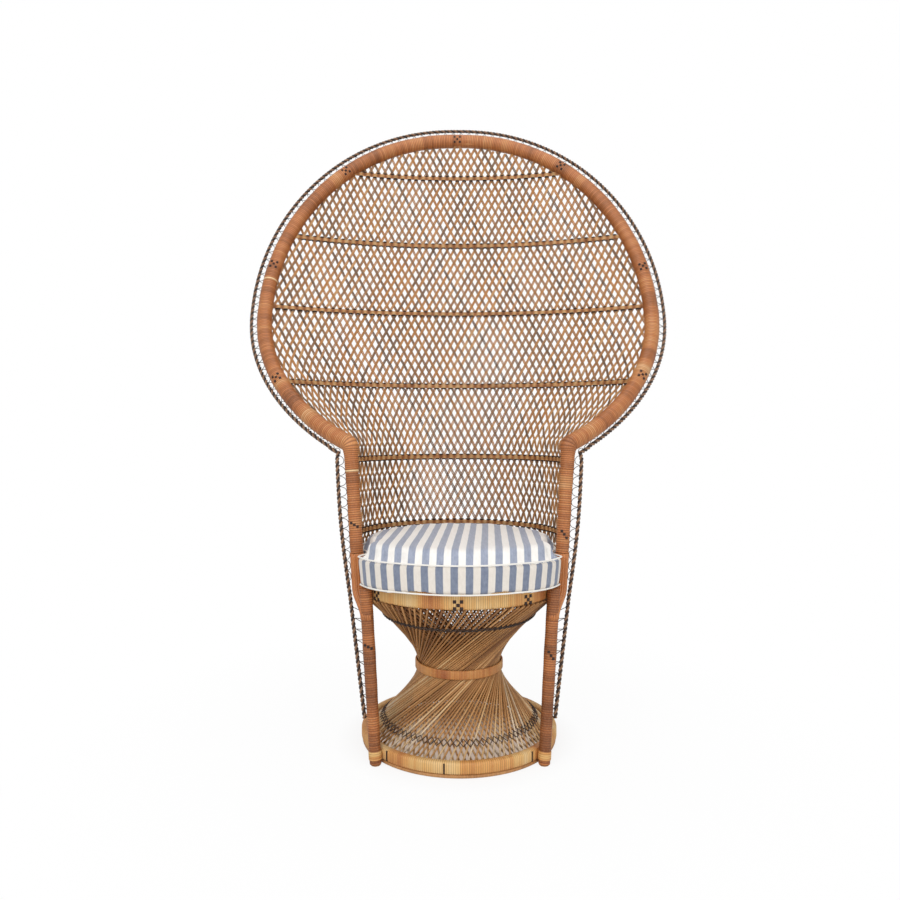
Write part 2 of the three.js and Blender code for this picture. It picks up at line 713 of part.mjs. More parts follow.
// The rail behind the seat hoop that the weave starts on
const railStart = postAzimuth + Math.asin((poleTopRadius + 2 * lashingWall) / seatRadius);
const railShape = new THREE.Shape();
const railInner = seatRadius + clearance;
railShape.absarc(0, 0, railInner + railWidth, railStart - Math.PI / 2, Math.PI * 3 / 2 - railStart, false);
railShape.absarc(0, 0, railInner, Math.PI * 3 / 2 - railStart, railStart - Math.PI / 2, true);
addPiece('lower_back_rail', new THREE.ExtrudeGeometry(railShape, {
  depth: railHeight, bevelEnabled: false, curveSegments: 24,
}).translate(0, 0, railTop - railHeight), caneColour);

// The edge braid follows the legs, the posts and the fan on the outside, and thin loops tie it on.
const braidTopHeight = shoulderHeight - braidShoulderDrop;
function beside(centre, radius, gap) {
  return centre.clone().add(new THREE.Vector3(radius + gap + braidRadius, braidBehind, 0));
}
const braidFoot = beside(legPoint(braidFootHeight), poleRadiusAt(braidFootHeight), braidFootGap);
const braidSeat = beside(postPoint(postFoot), poleRadiusAt(postFoot) + lashingWall, braidSeatGap);
const braidTop = beside(
  postPoint(braidTopHeight), poleRadiusAt(braidTopHeight) + lashingWall, braidPostTopGap,
);
function legStation(share) {
  const braid = braidFoot.clone().lerp(braidSeat, share);
  return { centre: legPoint(braid.z), braid, radius: poleRadiusAt(braid.z) };
}
function postStation(share) {
  const braid = braidSeat.clone().lerp(braidTop, share);
  braid.x += braidBow * Math.sin(Math.PI * share);
  return { centre: postPoint(braid.z), braid, radius: poleRadiusAt(braid.z) + lashed(braid.z) };
}
const smallTurn = 0.01;
function outsideOfFan(turn) {
  const before = fanPoint(turn - smallTurn);
  const after = fanPoint(turn + smallTurn);
  return new THREE.Vector3(before.z - after.z, 0, after.x - before.x).normalize();
}
function fanStation(share) {
  const turn = THREE.MathUtils.lerp(shoulderTurn * braidStartShare, 0, share);
  const open = THREE.MathUtils.smoothstep(share, ...braidOpenShares);
  const side = THREE.MathUtils.lerp(braidGapAtTop, braidGapAtSides, Math.sin(turn) ** 2);
  const gap = THREE.MathUtils.lerp(braidGapAtShoulder, side, open);
  const centre = fanPoint(turn);
  const radius = fanHoopRadius + lashed(centre.z);
  const braid = centre.clone().addScaledVector(outsideOfFan(turn), radius + gap + braidRadius);
  braid.y += braidBehind;
  return { centre, braid, radius };
}
// The stations of the +X side, which end at the top of the fan, and the same in reverse on the other side.
function withOtherSide(right) {
  const flip = (point) => new THREE.Vector3(-point.x, point.y, point.z);
  const left = right.slice(0, -1).map(({ centre, braid, radius }) => (
    { centre: flip(centre), braid: flip(braid), radius }
  ));
  return [...right, ...left.reverse()];
}
const braidStations = withOtherSide([
  ...evenly(0, 1, 3).slice(0, -1).map(legStation),
  ...evenly(0, 1, 5).map(postStation),
  ...evenly(0, 1, 30).map(fanStation),
]);
addPiece('edge_braid', tube(braidStations.map(({ braid }) => braid), braidRadius, 5), braidColour, 0.7);
// A wire that goes to and fro between the frame and the braid.
function scallops(stations) {
  return tube(stations.map(({ centre, braid, radius }, k) => {
    const outward = braid.clone().sub(centre).normalize();
    if (k % 2) return centre.clone().addScaledVector(outward, radius + 2 * clearance + scallopWireRadius);
    return braid.clone().addScaledVector(outward, -braidRadius - clearance - scallopWireRadius);
  }), scallopWireRadius, 3);
}
addPiece('edge_scallops', scallops(withOtherSide([
  ...evenly(scallopPostShare, 1, 7).map(postStation),
  ...evenly(0, 1, 34).map(fanStation),
])), darkColour, 0.7);
addPair('leg_scallops', scallops(evenly(0, scallopLegShare, 6).map(legStation)), darkColour, 0.7);

// The cushion: crowned faces, piping on both rims, sides drawn in, and a dent at each post.
const cushionRadius = seatRadius + cushionOverhang;
const cushionBottom = seatHoopTop + clearance;
const pipe = pipingRadius;
const lowerPipe = cushionBottom + cushionBelly + pipe;
const upperPipe = cushionBottom + cushionSideHeight;
const wallRadius = cushionRadius - pipe;
const cushionProfile = [
  [0, cushionBottom], [seatInnerRadius, cushionBottom],
  [cushionRadius - 2 * pipe, cushionBottom + cushionBelly],
  [wallRadius, lowerPipe - pipe], [cushionRadius, lowerPipe], [wallRadius, lowerPipe + pipe],
  [wallRadius - sideDrawIn / 2, lowerPipe + 3 * pipe],
  [wallRadius - sideDrawIn, (lowerPipe + upperPipe) / 2],
  [wallRadius - sideDrawIn / 2, upperPipe - 3 * pipe],
  [wallRadius, upperPipe - pipe], [cushionRadius, upperPipe], [wallRadius, upperPipe + pipe],
  [cushionRadius - 3 * pipe, upperPipe + pipe / 2],
  ...crownShares.map((share) => [
    cushionRadius * share, upperPipe + cushionCrown * Math.cos(share * Math.PI / 2) ** crownPower,
  ]),
  [0, upperPipe + cushionCrown],
].map(([radius, height]) => new THREE.Vector2(radius, height));
const cushion = new THREE.LatheGeometry(cushionProfile, cushionSegments).rotateX(Math.PI / 2);
const cushionPlace = cushion.getAttribute('position');
for (let i = 0; i < cushionPlace.count; i += 1) {
  const [x, y] = [cushionPlace.getX(i), cushionPlace.getY(i)];
  const azimuth = Math.atan2(Math.abs(x), -y);
  const share = Math.hypot(x, y) / cushionRadius;
  const dent = postDent * Math.exp(-(((azimuth - postDentAzimuth) / postDentWidth) ** 2));
  const corner = (azimuth / swellEnds[0]) ** 2;
  const fall = 1 - THREE.MathUtils.smoothstep(azimuth, ...swellEnds);
  const swell = fall * THREE.MathUtils.lerp(frontSwell, cornerSwell, Math.min(corner, 1));
  const scale = 1 + (swell - dent * share ** (postDentPower - 1)) / cushionRadius;
  cushionPlace.setXY(i, x * scale, y * scale - cushionForward);
}
addPiece('cushion', facingOut(cushion), cushionColour, 0.9);

// The origin lies on the floor, midway between the front and the back.
const extent = new THREE.Box3().setFromObject(chair);
chair.position.y = -(extent.min.y + extent.max.y) / 2;

export default chair;
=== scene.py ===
"""A rattan peacock chair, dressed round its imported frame. Metres, +Z up, the sitter looks along -Y."""
import math

import bmesh
import bpy
import numpy as np
from mathutils import Matrix, Vector, noise


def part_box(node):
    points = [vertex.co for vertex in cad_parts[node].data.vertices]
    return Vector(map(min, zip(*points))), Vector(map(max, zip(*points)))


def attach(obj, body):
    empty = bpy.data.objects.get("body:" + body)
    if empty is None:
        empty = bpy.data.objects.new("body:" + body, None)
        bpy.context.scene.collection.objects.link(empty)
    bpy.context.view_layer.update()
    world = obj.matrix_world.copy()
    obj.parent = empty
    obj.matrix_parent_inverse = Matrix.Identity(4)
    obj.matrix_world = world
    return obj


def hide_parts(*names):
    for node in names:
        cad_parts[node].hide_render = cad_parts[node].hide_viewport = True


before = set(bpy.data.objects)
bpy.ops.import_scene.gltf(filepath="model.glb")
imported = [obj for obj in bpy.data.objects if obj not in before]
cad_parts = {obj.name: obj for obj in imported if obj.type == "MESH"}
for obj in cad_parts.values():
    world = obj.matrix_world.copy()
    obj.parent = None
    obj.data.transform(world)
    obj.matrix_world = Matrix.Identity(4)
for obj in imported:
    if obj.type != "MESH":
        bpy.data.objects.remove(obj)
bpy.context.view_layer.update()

rng = np.random.default_rng(11)
scene = bpy.context.scene


def middle_of(box):
    return (box[0] + box[1]) / 2


# Sizes read from the frame
seat_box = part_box("seat_hoop")
base_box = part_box("base_hoop")
foot_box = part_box("foot_hoop")
waist_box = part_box("waist_band")
lower_ring_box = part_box("lower_twine_ring")
upper_ring_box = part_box("upper_twine_ring")
rail_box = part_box("lower_back_rail")
AXIS_Y = middle_of(seat_box).y
SEAT_RADIUS = (seat_box[1].x - seat_box[0].x) / 2
SEAT_TOP = seat_box[1].z
SEAT_BOTTOM = seat_box[0].z
BASE_RADIUS = (base_box[1].x - base_box[0].x) / 2
BASE_TOP = base_box[1].z

# Sizes shared with the solids
CLEAR = 0.0003
SEAT_HOOP_WIDTH = 0.025
BASE_HOOP_WIDTH = 0.018
FOOT_HOOP_WIDTH = 0.011
HOOP_CORNER = 0.005
POLE_TOP_RADIUS = 0.015
POLE_FOOT_RADIUS = 0.0122
SHOULDER_HEIGHT = 0.651
LEG_FOOT_AZIMUTH = math.radians(49)
LEG_TOP_AZIMUTH = math.radians(57.3)
LEG_TOP = SEAT_TOP - 0.014
POST_AZIMUTH = math.radians(66.5)
POST_FOOT = SEAT_BOTTOM + 0.002
POST_SPLAY = 0.07
POST_LEAN = 0.081
POST_TOP = SHOULDER_HEIGHT - 0.008
POST_WINDING_TOP = POST_TOP - 0.046
FOOT_CANES_TOP = SEAT_TOP + 0.054
LASHING_WALL = 0.0022
FAN_HALF_WIDTH = 0.481
FAN_WIDEST = 0.985
FAN_RISE = 0.504
FAN_HOOP_RADIUS = 0.0185
FAN_TOP_DEPTH = 0.415
FAN_LEAN_POWER = 1.47
WINDING_END_SHARE = 0.965
BACK_FOOT_DEPTH = SEAT_RADIUS + 0.0115
CROWN_START = FAN_WIDEST + 0.015
WAIST_RADIUS = 0.090
WAIST_HEIGHT = middle_of(waist_box).z
BRAID_RADIUS = 0.0045
BRAID_BEHIND = 0.007
BRAID_FOOT_HEIGHT = 0.090
BRAID_TOP_HEIGHT = SHOULDER_HEIGHT - 0.033
BRAID_FOOT_GAP = 0.0012
BRAID_SEAT_GAP = 0.0005
BRAID_POST_TOP_GAP = 0.010
BRAID_BOW = 0.005
BRAID_START_SHARE = 0.985
BRAID_GAP_SIDES = 0.011
BRAID_GAP_TOP = 0.008
BRAID_GAP_SHOULDER = 0.004
CUSHION_RADIUS = SEAT_RADIUS + 0.0035
CUSHION_FORWARD = 0.008
CUSHION_SIDE = 0.056
CUSHION_BELLY = 0.0022
CUSHION_CROWN = 0.027
FRONT_SWELL = 0.020
CORNER_SWELL = 0.028
SWELL_ENDS = [math.radians(56.5), math.radians(64.5)]
POST_DENT = 0.010
POST_DENT_AZIMUTH = math.radians(69.8)
POST_DENT_WIDTH = math.radians(9)


def between(a, b, share):
    return a + (b - a) * share


def smooth_step(low, high, value):
    share = min(max((value - low) / (high - low), 0), 1)
    return share * share * (3 - 2 * share)


# Camera and lamps
CAMERA_DISTANCE = 1.66
CAMERA_X = -0.0202
CAMERA_HEIGHT = 0.686
FOCAL_PIXELS = 740
PHOTO_PIXELS = 900
HORIZON_PIXEL = 428
SENSOR_WIDTH = 36
LAMP_AIM = Vector((0, AXIS_Y, 0.7))
LAMPS = [  # name, place, size and power
    ("key", (-1.5, -2.9, 2.6), 2.4, 54),
    ("fill", (1.9, -2.6, 1.4), 2.4, 24),
    ("above", (0.2, -0.7, 3.2), 2.0, 22),
]


def add_camera():
    data = bpy.data.cameras.new("camera")
    data.sensor_width = SENSOR_WIDTH
    data.lens = FOCAL_PIXELS / PHOTO_PIXELS * data.sensor_width
    data.shift_y = (HORIZON_PIXEL - PHOTO_PIXELS / 2) / PHOTO_PIXELS
    camera = bpy.data.objects.new("camera", data)
    camera.location = (CAMERA_X, AXIS_Y - CAMERA_DISTANCE, CAMERA_HEIGHT)
    camera.rotation_euler = (math.pi / 2, 0, 0)
    scene.collection.objects.link(camera)
    scene.camera = camera


def add_lamp(name, place, size, power):
    data = bpy.data.lights.new(name, "AREA")
    data.shape = "DISK"
    data.size = size
    data.energy = power
    lamp = bpy.data.objects.new(name, data)
    lamp.location = place
    lamp.rotation_euler = (LAMP_AIM - Vector(place)).to_track_quat("-Z", "Y").to_euler()
    scene.collection.objects.link(lamp)


# Materials
def colour(code):
    """A written colour such as C9A26B as linear red, green, blue and alpha."""
    parts = [int(code[k:k + 2], 16) / 255 for k in (0, 2, 4)]
    return tuple(c / 12.92 if c < 0.04045 else ((c + 0.055) / 1.055) ** 2.4 for c in parts) + (1,)


class Term:
    """A number in a material. Sums on it add Math nodes."""

    def __init__(self, finish, socket):
        self.finish = finish
        self.socket = socket

    def math(self, operation, *values):
        return self.finish.add("ShaderNodeMath", values, {"operation": operation})

    def __add__(self, other):
        return self.math("ADD", self, other)

    __radd__ = __add__

    def __sub__(self, other):
        return self.math("SUBTRACT", self, other)

    def __rsub__(self, other):
        return self.math("SUBTRACT", other, self)

    def __mul__(self, other):
        return self.math("MULTIPLY", self, other)

    __rmul__ = __mul__

    def __gt__(self, other):
        return self.math("GREATER_THAN", self, other)

    def __floor__(self):
        return self.math("FLOOR", self)

    def part(self):
        return self.math("FRACT", self)

    def ramped(self, low, high, start=0.0, end=1.0):
        """From start to end while the number goes from low to high."""
        return self.finish.add("ShaderNodeMapRange", {
            "Value": self, "From Min": low, "From Max": high, "To Min": start, "To Max": end,
        })


class Finish:
    """A material with a principled shader."""

    def __init__(self, name, roughness, **fixed):
        self.material = bpy.data.materials.new(name)
        self.material.use_nodes = True
        self.tree = self.material.node_tree
        self.shader = self.tree.nodes["Principled BSDF"]
        self.shader.inputs["Roughness"].default_value = roughness
        for socket, value in fixed.items():
            self.shader.inputs[socket.replace("_", " ")].default_value = value

    def add(self, kind, inputs=(), settings=None, output=0):
        """Adds a node, sets it up, and gives one of its outputs. Inputs go by place or by name."""
        node = self.tree.nodes.new(kind)
        for name, value in (settings or {}).items():
            if name == "stops":
                ramp = node.color_ramp
                while len(ramp.elements) < len(value):
                    ramp.elements.new(0.5)
                for element, (place, code) in zip(ramp.elements, value):
                    element.position = place
                    element.color = colour(code)
            else:
                setattr(node, name, value)
        pairs = inputs.items() if isinstance(inputs, dict) else enumerate(inputs)
        for key, value in pairs:
            if isinstance(value, Term):
                self.tree.links.new(value.socket, node.inputs[key])
            else:
                node.inputs[key].default_value = value
        return Term(self, node.outputs[output])

    def place(self, scale=(1, 1, 1), turn=(0, 0, 0), shift=(0, 0, 0)):
        """Object coordinates, moved, turned and scaled."""
        place = self.add("ShaderNodeTexCoord", output="Object")
        return self.add("ShaderNodeMapping", {
            "Vector": place, "Location": shift, "Rotation": turn, "Scale": scale,
        })

    def along(self, place, axis):
        return self.add("ShaderNodeSeparateXYZ", [place], output=axis)

    def noise(self, scale, detail, stretch=(1, 1, 1)):
        return self.add("ShaderNodeTexNoise", {
            "Vector": self.place(stretch), "Scale": scale, "Detail": detail,
        })

    def attribute(self, name):
        return self.add("ShaderNodeAttribute", settings={"attribute_name": name}, output="Fac")

    def ramp(self, value, stops):
        return self.add("ShaderNodeValToRGB", [value], {"stops": stops})

    def mix(self, share, first, second, blend="MIX"):
        codes = [colour(c) if isinstance(c, str) else c for c in (first, second)]
        return self.add("ShaderNodeMix", {0: share, 6: codes[0], 7: codes[1]},
                        {"data_type": "RGBA", "blend_type": blend}, output=2)

    def bump(self, height, distance, strength):
        normal = self.add("ShaderNodeBump", {
            "Height": height, "Distance": distance, "Strength": strength,
        })
        self.feed("Normal", normal)

    def feed(self, socket, term):
        self.tree.links.new(term.socket, self.shader.inputs[socket])


def wound_cane(name, stops, groove_colour, groove_share):
    """Flat cane wound round a pole: each turn has its own tone, and the grooves between turns are darkened
    with painted shade.
    """
    finish = Finish(name, 0.45)
    tone = finish.attribute("tone")
    groove = finish.attribute("groove")
    drift = finish.noise(14, 2)
    fibre = finish.noise(420, 3)
    speckle = finish.noise(60, 3)
    body = finish.ramp(tone + (drift - 0.5) * 0.5, stops)
    body = finish.mix((speckle - 0.35) * 0.4, body, finish.mix(0.5, body, groove_colour))
    body = finish.mix((fibre - 0.45) * 0.45, body, "F6D9AE")
    # Painted shade: the groove colour darkens the grooves between turns.
    finish.feed("Base Color", finish.mix(groove * groove_share, body, groove_colour))
    finish.feed("Roughness", 0.34 + 0.22 * fibre + 0.2 * groove)
    finish.bump(fibre + speckle, 0.0004, 0.5)
    return finish.material


REED_STAIN = "4A3222"


def reed(name, stops):
    """Round reed: every strand has its own tone, with darker patches and fine streaks."""
    finish = Finish(name, 0.5)
    tone = finish.attribute("tone")
    mottle = finish.noise(22, 3)
    fine = finish.noise(160, 4)
    body = finish.ramp(tone * 0.75 + mottle * 0.25, stops)
    body = finish.mix((mottle - 0.54) * 1.5, body, REED_STAIN)
    finish.feed("Base Color", finish.mix((fine - 0.45) * 0.55, body, REED_STAIN))
    finish.feed("Roughness", 0.4 + 0.3 * fine)
    finish.bump(fine, 0.0003, 0.5)
    return finish.material


# Heights over which the twine gets darker.
DARKENING_START = 0.7
DARKENING_FULL = 1.15


def twine(name, light, dark):
    """Twine with fine fibres, darker high up the chair."""
    finish = Finish(name, 0.7)
    fibre = finish.noise(900, 3)
    mottle = finish.noise(70, 2)
    body = finish.mix(fibre, dark, light)
    height_darkening = finish.along(finish.place(), 2).ramped(DARKENING_START, DARKENING_FULL, 0, 0.4)
    finish.feed("Base Color", finish.mix(mottle * 0.5 + height_darkening, body, dark))
    finish.feed("Roughness", 0.55 + 0.3 * fibre)
    finish.bump(fibre, 0.0004, 0.7)
    return finish.material


def plaited_cane(name, strip, stops):
    """Strips of cane that pass over and under each other, darker with painted shade where they dip."""
    finish = Finish(name, 0.5)
    grid = finish.place((1 / strip, 1 / strip, 1))
    across, along = finish.along(grid, 0), finish.along(grid, 1)
    over = ((math.floor(across) + math.floor(along)) * 0.5).part() > 0.25
    off_across, off_along = across.part() - 0.5, along.part() - 0.5
    height = 1 - 3.6 * (over * off_across * off_across + (1 - over) * off_along * off_along)
    fine = finish.noise(240, 3)
    # Painted shade: the colour follows the height, darker towards each strip's edges.
    body = finish.ramp(height * 0.7 + fine * 0.3, stops)
    finish.feed("Base Color", body)
    finish.feed("Roughness", 0.45 + 0.2 * fine)
    finish.bump(height, 0.002, 0.8)
    return finish.material


STRIPE_PERIOD = 0.0285
BLUE_SHARE = 0.5
STRIPE_TURN = math.radians(3.0)
STRIPE_SHIFT = -0.0061
BLUE_YARNS = [("7A8398", "A8AEBE"), ("5B657A", "8A92A3")]  # dark and light, on the faces, and darker on the boxing as painted shade
WHITE_YARNS = [("ECE6DD", "FDFBF7"), ("D9CFC1", "EDE5DA")]


def striped_cotton():
    """Cotton with woven stripes: straight ones on the faces, upright ones round the boxing, whose yarns are
    darker with painted shade.
    """
    finish = Finish("striped_cotton", 0.85, Sheen_Weight=0.25)
    wobble = (finish.noise(30, 2) - 0.5) * 0.0012
    across = finish.along(finish.place(turn=(0, 0, STRIPE_TURN)), 0)
    phase = (across + wobble + STRIPE_SHIFT) * (math.tau / STRIPE_PERIOD)
    face_wave = finish.add("ShaderNodeMath", [phase], {"operation": "COSINE"})
    boxing = finish.attribute("boxing") > 0.5
    box_wave = finish.attribute("box_wave") + wobble * 60
    wave = boxing * box_wave + (1 - boxing) * face_wave
    edge = -math.cos(math.pi * BLUE_SHARE)
    blue = (wave * -1).ramped(edge - 0.1, edge + 0.1, 1.0, 0.0)
    slub = finish.noise(260, 3, (1, 0.12, 0.5))
    threads = finish.noise(1300, 2)
    # The boxing takes the darker yarns: painted shade on the cushion's upright sides.
    blues, whites = (
        finish.mix(boxing, finish.mix(slub, *faces), finish.mix(slub, *shaded_walls))
        for faces, shaded_walls in (BLUE_YARNS, WHITE_YARNS)
    )
    body = finish.mix(blue, whites, blues)
    finish.feed("Base Color", finish.mix(threads * 0.25, body, "FFFFFF", "OVERLAY"))
    finish.bump(threads + slub, 0.0004, 0.6)
    return finish.material


def piping_cloth():
    finish = Finish("piping_cloth", 0.8, Sheen_Weight=0.2)
    fibre = finish.noise(900, 3)
    mottle = finish.noise(40, 2)
    finish.feed("Base Color", finish.mix(fibre * 0.6 + mottle * 0.4, "E8E3D9", "FAF8F3"))
    finish.bump(fibre, 0.0003, 0.6)
    return finish.material


def pole_wood():
    finish = Finish("bare_pole", 0.5)
    grain = finish.noise(300, 4, (1, 1, 0.08))
    mottle = finish.noise(18, 2)
    body = finish.ramp(grain * 0.6 + mottle * 0.4, [(0.25, "8E5F36"), (0.55, "BE8A55"), (0.8, "D4A56C")])
    finish.feed("Base Color", body)
    finish.feed("Roughness", 0.4 + 0.3 * grain)
    finish.bump(grain, 0.0003, 0.5)
    return finish.material


# Floor and daylight
FLOOR_HALF_WIDTH = 12
AMBIENT = 0.42
SHADE_EDGE = 0.03  # how far inside the base hoop the floor's painted shade starts to fade
SHADE_START = AXIS_Y - 0.04
SHADE_DEEP = AXIS_Y + 0.12
GLOW_NEAR = BASE_RADIUS + 0.06
GLOW_FAR = (0.3, 0.9)


def floor_paint():
    """A pale floor. The camera sees it almost white, but inside the base hoop it sees painted light and
    shade.
    """
    finish = Finish("floor", 0.9)
    finish.shader.inputs["Base Color"].default_value = (0.9, 0.9, 0.9, 1)
    from_axis = finish.add("ShaderNodeVectorMath", [finish.place(shift=(0, -AXIS_Y, 0))],
                           {"operation": "LENGTH"}, output="Value")
    inside = from_axis.ramped(BASE_RADIUS - SHADE_EDGE, BASE_RADIUS, 1.0, 0.0)
    glow = from_axis.ramped(BASE_RADIUS, GLOW_NEAR, 0.85, 0.95) + from_axis.ramped(*GLOW_FAR, 0, 0.05)
    # Painted light and shade: a painted reflection of the cane near the front, darkening to painted shade
    # towards the back.
    deep = finish.along(finish.place(), 1).ramped(SHADE_START, SHADE_DEEP)
    shade = finish.mix(deep, "C2AE9F", "6E5038")
    painted_floor_shade = finish.mix(inside, "FFFFFF", shade)
    white = finish.add("ShaderNodeEmission", {"Color": painted_floor_shade, "Strength": 1.0})
    seen = finish.add("ShaderNodeLightPath", output="Is Camera Ray")
    mixed = finish.add("ShaderNodeMixShader", {
        0: seen * glow, 1: Term(finish, finish.shader.outputs[0]), 2: white,
    })
    output = finish.tree.nodes["Material Output"]
    finish.tree.links.new(mixed.socket, output.inputs["Surface"])
    return finish.material


def light_world(ambient):
    """Soft light from all round. The camera and reflections see the backdrop white."""
    world = bpy.data.worlds.new("studio")
    world.use_nodes = True
    scene.world = world
    tree = world.node_tree
    light = tree.nodes["Background"]
    light.inputs["Color"].default_value = (1, 1, 1, 1)
    light.inputs["Strength"].default_value = ambient
    white = tree.nodes.new("ShaderNodeBackground")
    white.inputs["Color"].default_value = (1, 1, 1, 1)
    white.inputs["Strength"].default_value = 1.0
    path = tree.nodes.new("ShaderNodeLightPath")
    both = tree.nodes.new("ShaderNodeMath")
    both.operation = "MAXIMUM"
    mix = tree.nodes.new("ShaderNodeMixShader")
    tree.links.new(path.outputs["Is Camera Ray"], both.inputs[0])
    tree.links.new(path.outputs["Is Glossy Ray"], both.inputs[1])
    tree.links.new(both.outputs[0], mix.inputs[0])
    tree.links.new(light.outputs[0], mix.inputs[1])
    tree.links.new(white.outputs[0], mix.inputs[2])
    tree.links.new(mix.outputs[0], tree.nodes["World Output"].inputs["Surface"])


# The finishes of this chair
RED_STOPS = [(0.05, "784012"), (0.3, "A05C28"), (0.5, "BE7239"), (0.7, "CC8A50"), (1.0, "F0CB98")]
TAN_STOPS = [(0.1, "9C4E22"), (0.3, "C27C3E"), (0.5, "DEA25A"), (0.65, "E6B872"), (0.85, "ECCB92")]
# After the stops come the painted shade colour of the grooves and its share.
red_cane = wound_cane("red_cane", RED_STOPS, "57280F", 0.7)
tan_cane = wound_cane("tan_cane", TAN_STOPS, "7A4420", 0.45)
weave_reed = reed("weave_reed", [
    (0.1, "5E4837"), (0.3, "8A6A4E"), (0.5, "A87A4E"), (0.7, "BE8448"), (0.9, "CCA070"),
])
rod_reed = reed("rod_reed", [
    (0.12, "80522B"), (0.4, "AA7844"), (0.65, "C8955E"), (0.8, "DDB884"), (1.0, "E8D4B8"),
])
band_reed = reed("band_reed", [(0.1, "7C4C26"), (0.4, "AC7040"), (0.65, "C2925C"), (0.9, "D4B080")])
dark_twine = twine("dark_twine", "57443A", "21150F")
dark_cane = twine("dark_cane", "3E2216", "1B0C06")
light_twine = twine("light_twine", "C09C7C", "7C5A42")
piping = piping_cloth()
striped = striped_cotton()
bare_pole = pole_wood()
plaited = plaited_cane("plaited_cane", 0.006, [(0.2, "6E4A2A"), (0.6, "B98A58"), (0.9, "DDB888")])


# Building pieces
def finished(name, mesh, material, slot, body="chair", replaces=()):
    """Makes a mesh a piece that rides on a body."""
    obj = bpy.data.objects.new(name, mesh)
    scene.collection.objects.link(obj)
    mesh.materials.clear()
    mesh.materials.append(material)
    mesh.polygons.foreach_set("use_smooth", np.ones(len(mesh.polygons), bool))
    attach(obj, body)
    if replaces:
        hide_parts(*replaces)
    return obj


def closed_mesh(name, bm):
    bmesh.ops.recalc_face_normals(bm, faces=bm.faces)
    mesh = bpy.data.meshes.new(name)
    bm.to_mesh(mesh)
    bm.free()
    return mesh


def tubes(name, runs, sides, cyclic):
    """One closed tube along each run. A run is its points, its radii, and the marks of its points."""
    data = bpy.data.curves.new(name, "CURVE")
    data.dimensions = "3D"
    data.bevel_depth = 1
    data.bevel_resolution = (sides - 4) // 2
    data.use_fill_caps = True
    for points, radii, _ in runs:
        spline = data.splines.new("POLY")
        spline.points.add(len(points) - 1)
        spline.use_cyclic_u = cyclic
        spline.points.foreach_set("co", np.column_stack([points, np.ones(len(points))]).ravel())
        spline.points.foreach_set("radius", np.broadcast_to(radii, len(points)).astype(float))
    holder = bpy.data.objects.new(name, data)
    scene.collection.objects.link(holder)
    shown = holder.evaluated_get(bpy.context.evaluated_depsgraph_get())
    mesh = bpy.data.meshes.new_from_object(shown)
    bpy.data.objects.remove(holder)
    bpy.data.curves.remove(data)
    bm = bmesh.new()
    bm.from_mesh(mesh)
    for mark in runs[0][2]:
        layer = bm.verts.layers.float.new(mark)
        rings = [np.broadcast_to(marks[mark], len(points)) for points, _, marks in runs]
        caps = [] if cyclic else [value for ring in reversed(rings) for value in (ring[-1], ring[0])]
        values = np.repeat(np.concatenate([caps, *rings]), sides)
        for vert, value in zip(bm.verts, values):
            vert[layer] = value
    bmesh.ops.remove_doubles(bm, verts=bm.verts, dist=MERGE)
    bm.to_mesh(mesh)
    bm.free()
    mesh.name = name
    return mesh


def tube_piece(name, runs, sides, material, slot, cyclic=False, **riding):
    return finished(name, tubes(name, runs, sides, cyclic), material, slot, **riding)


def lengths_along(points):
    """The length of a line up to each of its points."""
    return np.concatenate([[0], np.cumsum(np.linalg.norm(np.diff(points, axis=0), axis=1))])


def unit(vectors):
    return vectors / np.linalg.norm(vectors, axis=1)[:, None]


def line_at(points, lengths, places):
    """The points of a line at the given lengths along it."""
    return np.column_stack([np.interp(places, lengths, points[:, k]) for k in range(3)])


def evenly_along(points, step):
    """The same line with stations a step apart."""
    points = np.asarray(points)
    lengths = lengths_along(points)
    count = max(round(lengths[-1] / step), 2)
    places = np.linspace(0, lengths[-1], count + 1)
    return line_at(points, lengths, places), places


MERGE = 1e-6
PLAIN = {"tone": 0.5}  # the marks of a run that is all of one tone
SIDES = (("right", 1), ("left", -1))
RIDGE = [-0.0007, 0.0, 0.0]  # how the winding's radius changes through one turn: groove, crest, crest
PALE_TONE = 1.1
POLE_DRIFT = 0.4  # how far the tones of a pole's winding drift
POLE_JITTER = 0.13  # how far one turn's tone is from the next
HOOP_JITTER = 0.08


def turn_tones(turns, level, drift, jitter):
    """A tone for each turn of cane: long stretches of one cane, and small steps between turns."""
    start = rng.uniform(0, 100)
    return np.array([
        level + drift * noise.noise(Vector((start + k * 0.09, 0.3, 0))) + rng.uniform(-jitter, jitter)
        for k in range(turns)
    ])


def wound_run(line, radius_of, pitch, level=0.5, pale_places=()):
    """A pole's line with a low ridge for each turn of cane, and the marks of each turn."""
    points, places = evenly_along(line, pitch / len(RIDGE))
    count = len(points)
    phase = np.arange(count) % len(RIDGE)
    radii = np.array([radius_of(p, place) for p, place in zip(points, places)]) + np.take(RIDGE, phase)
    tones = turn_tones(count // len(RIDGE) + 1, level, POLE_DRIFT, POLE_JITTER)
    for pale in pale_places:
        nearest = np.linalg.norm(points - np.array(pale), axis=1).argmin()
        tones[nearest // len(RIDGE)] = PALE_TONE
    tone = tones[np.arange(count) // len(RIDGE)]
    return points, radii, {"tone": tone, "groove": (phase == 0).astype(float)}


def on_circle(radius, azimuth, height):
    """A point round the hourglass axis. Azimuth 0 is the front, and 90 degrees the +X side."""
    return Vector((radius * math.sin(azimuth), AXIS_Y - radius * math.cos(azimuth), height))


MARK_THICKNESS = 0.0020
MARK_BEVEL = 0.0005


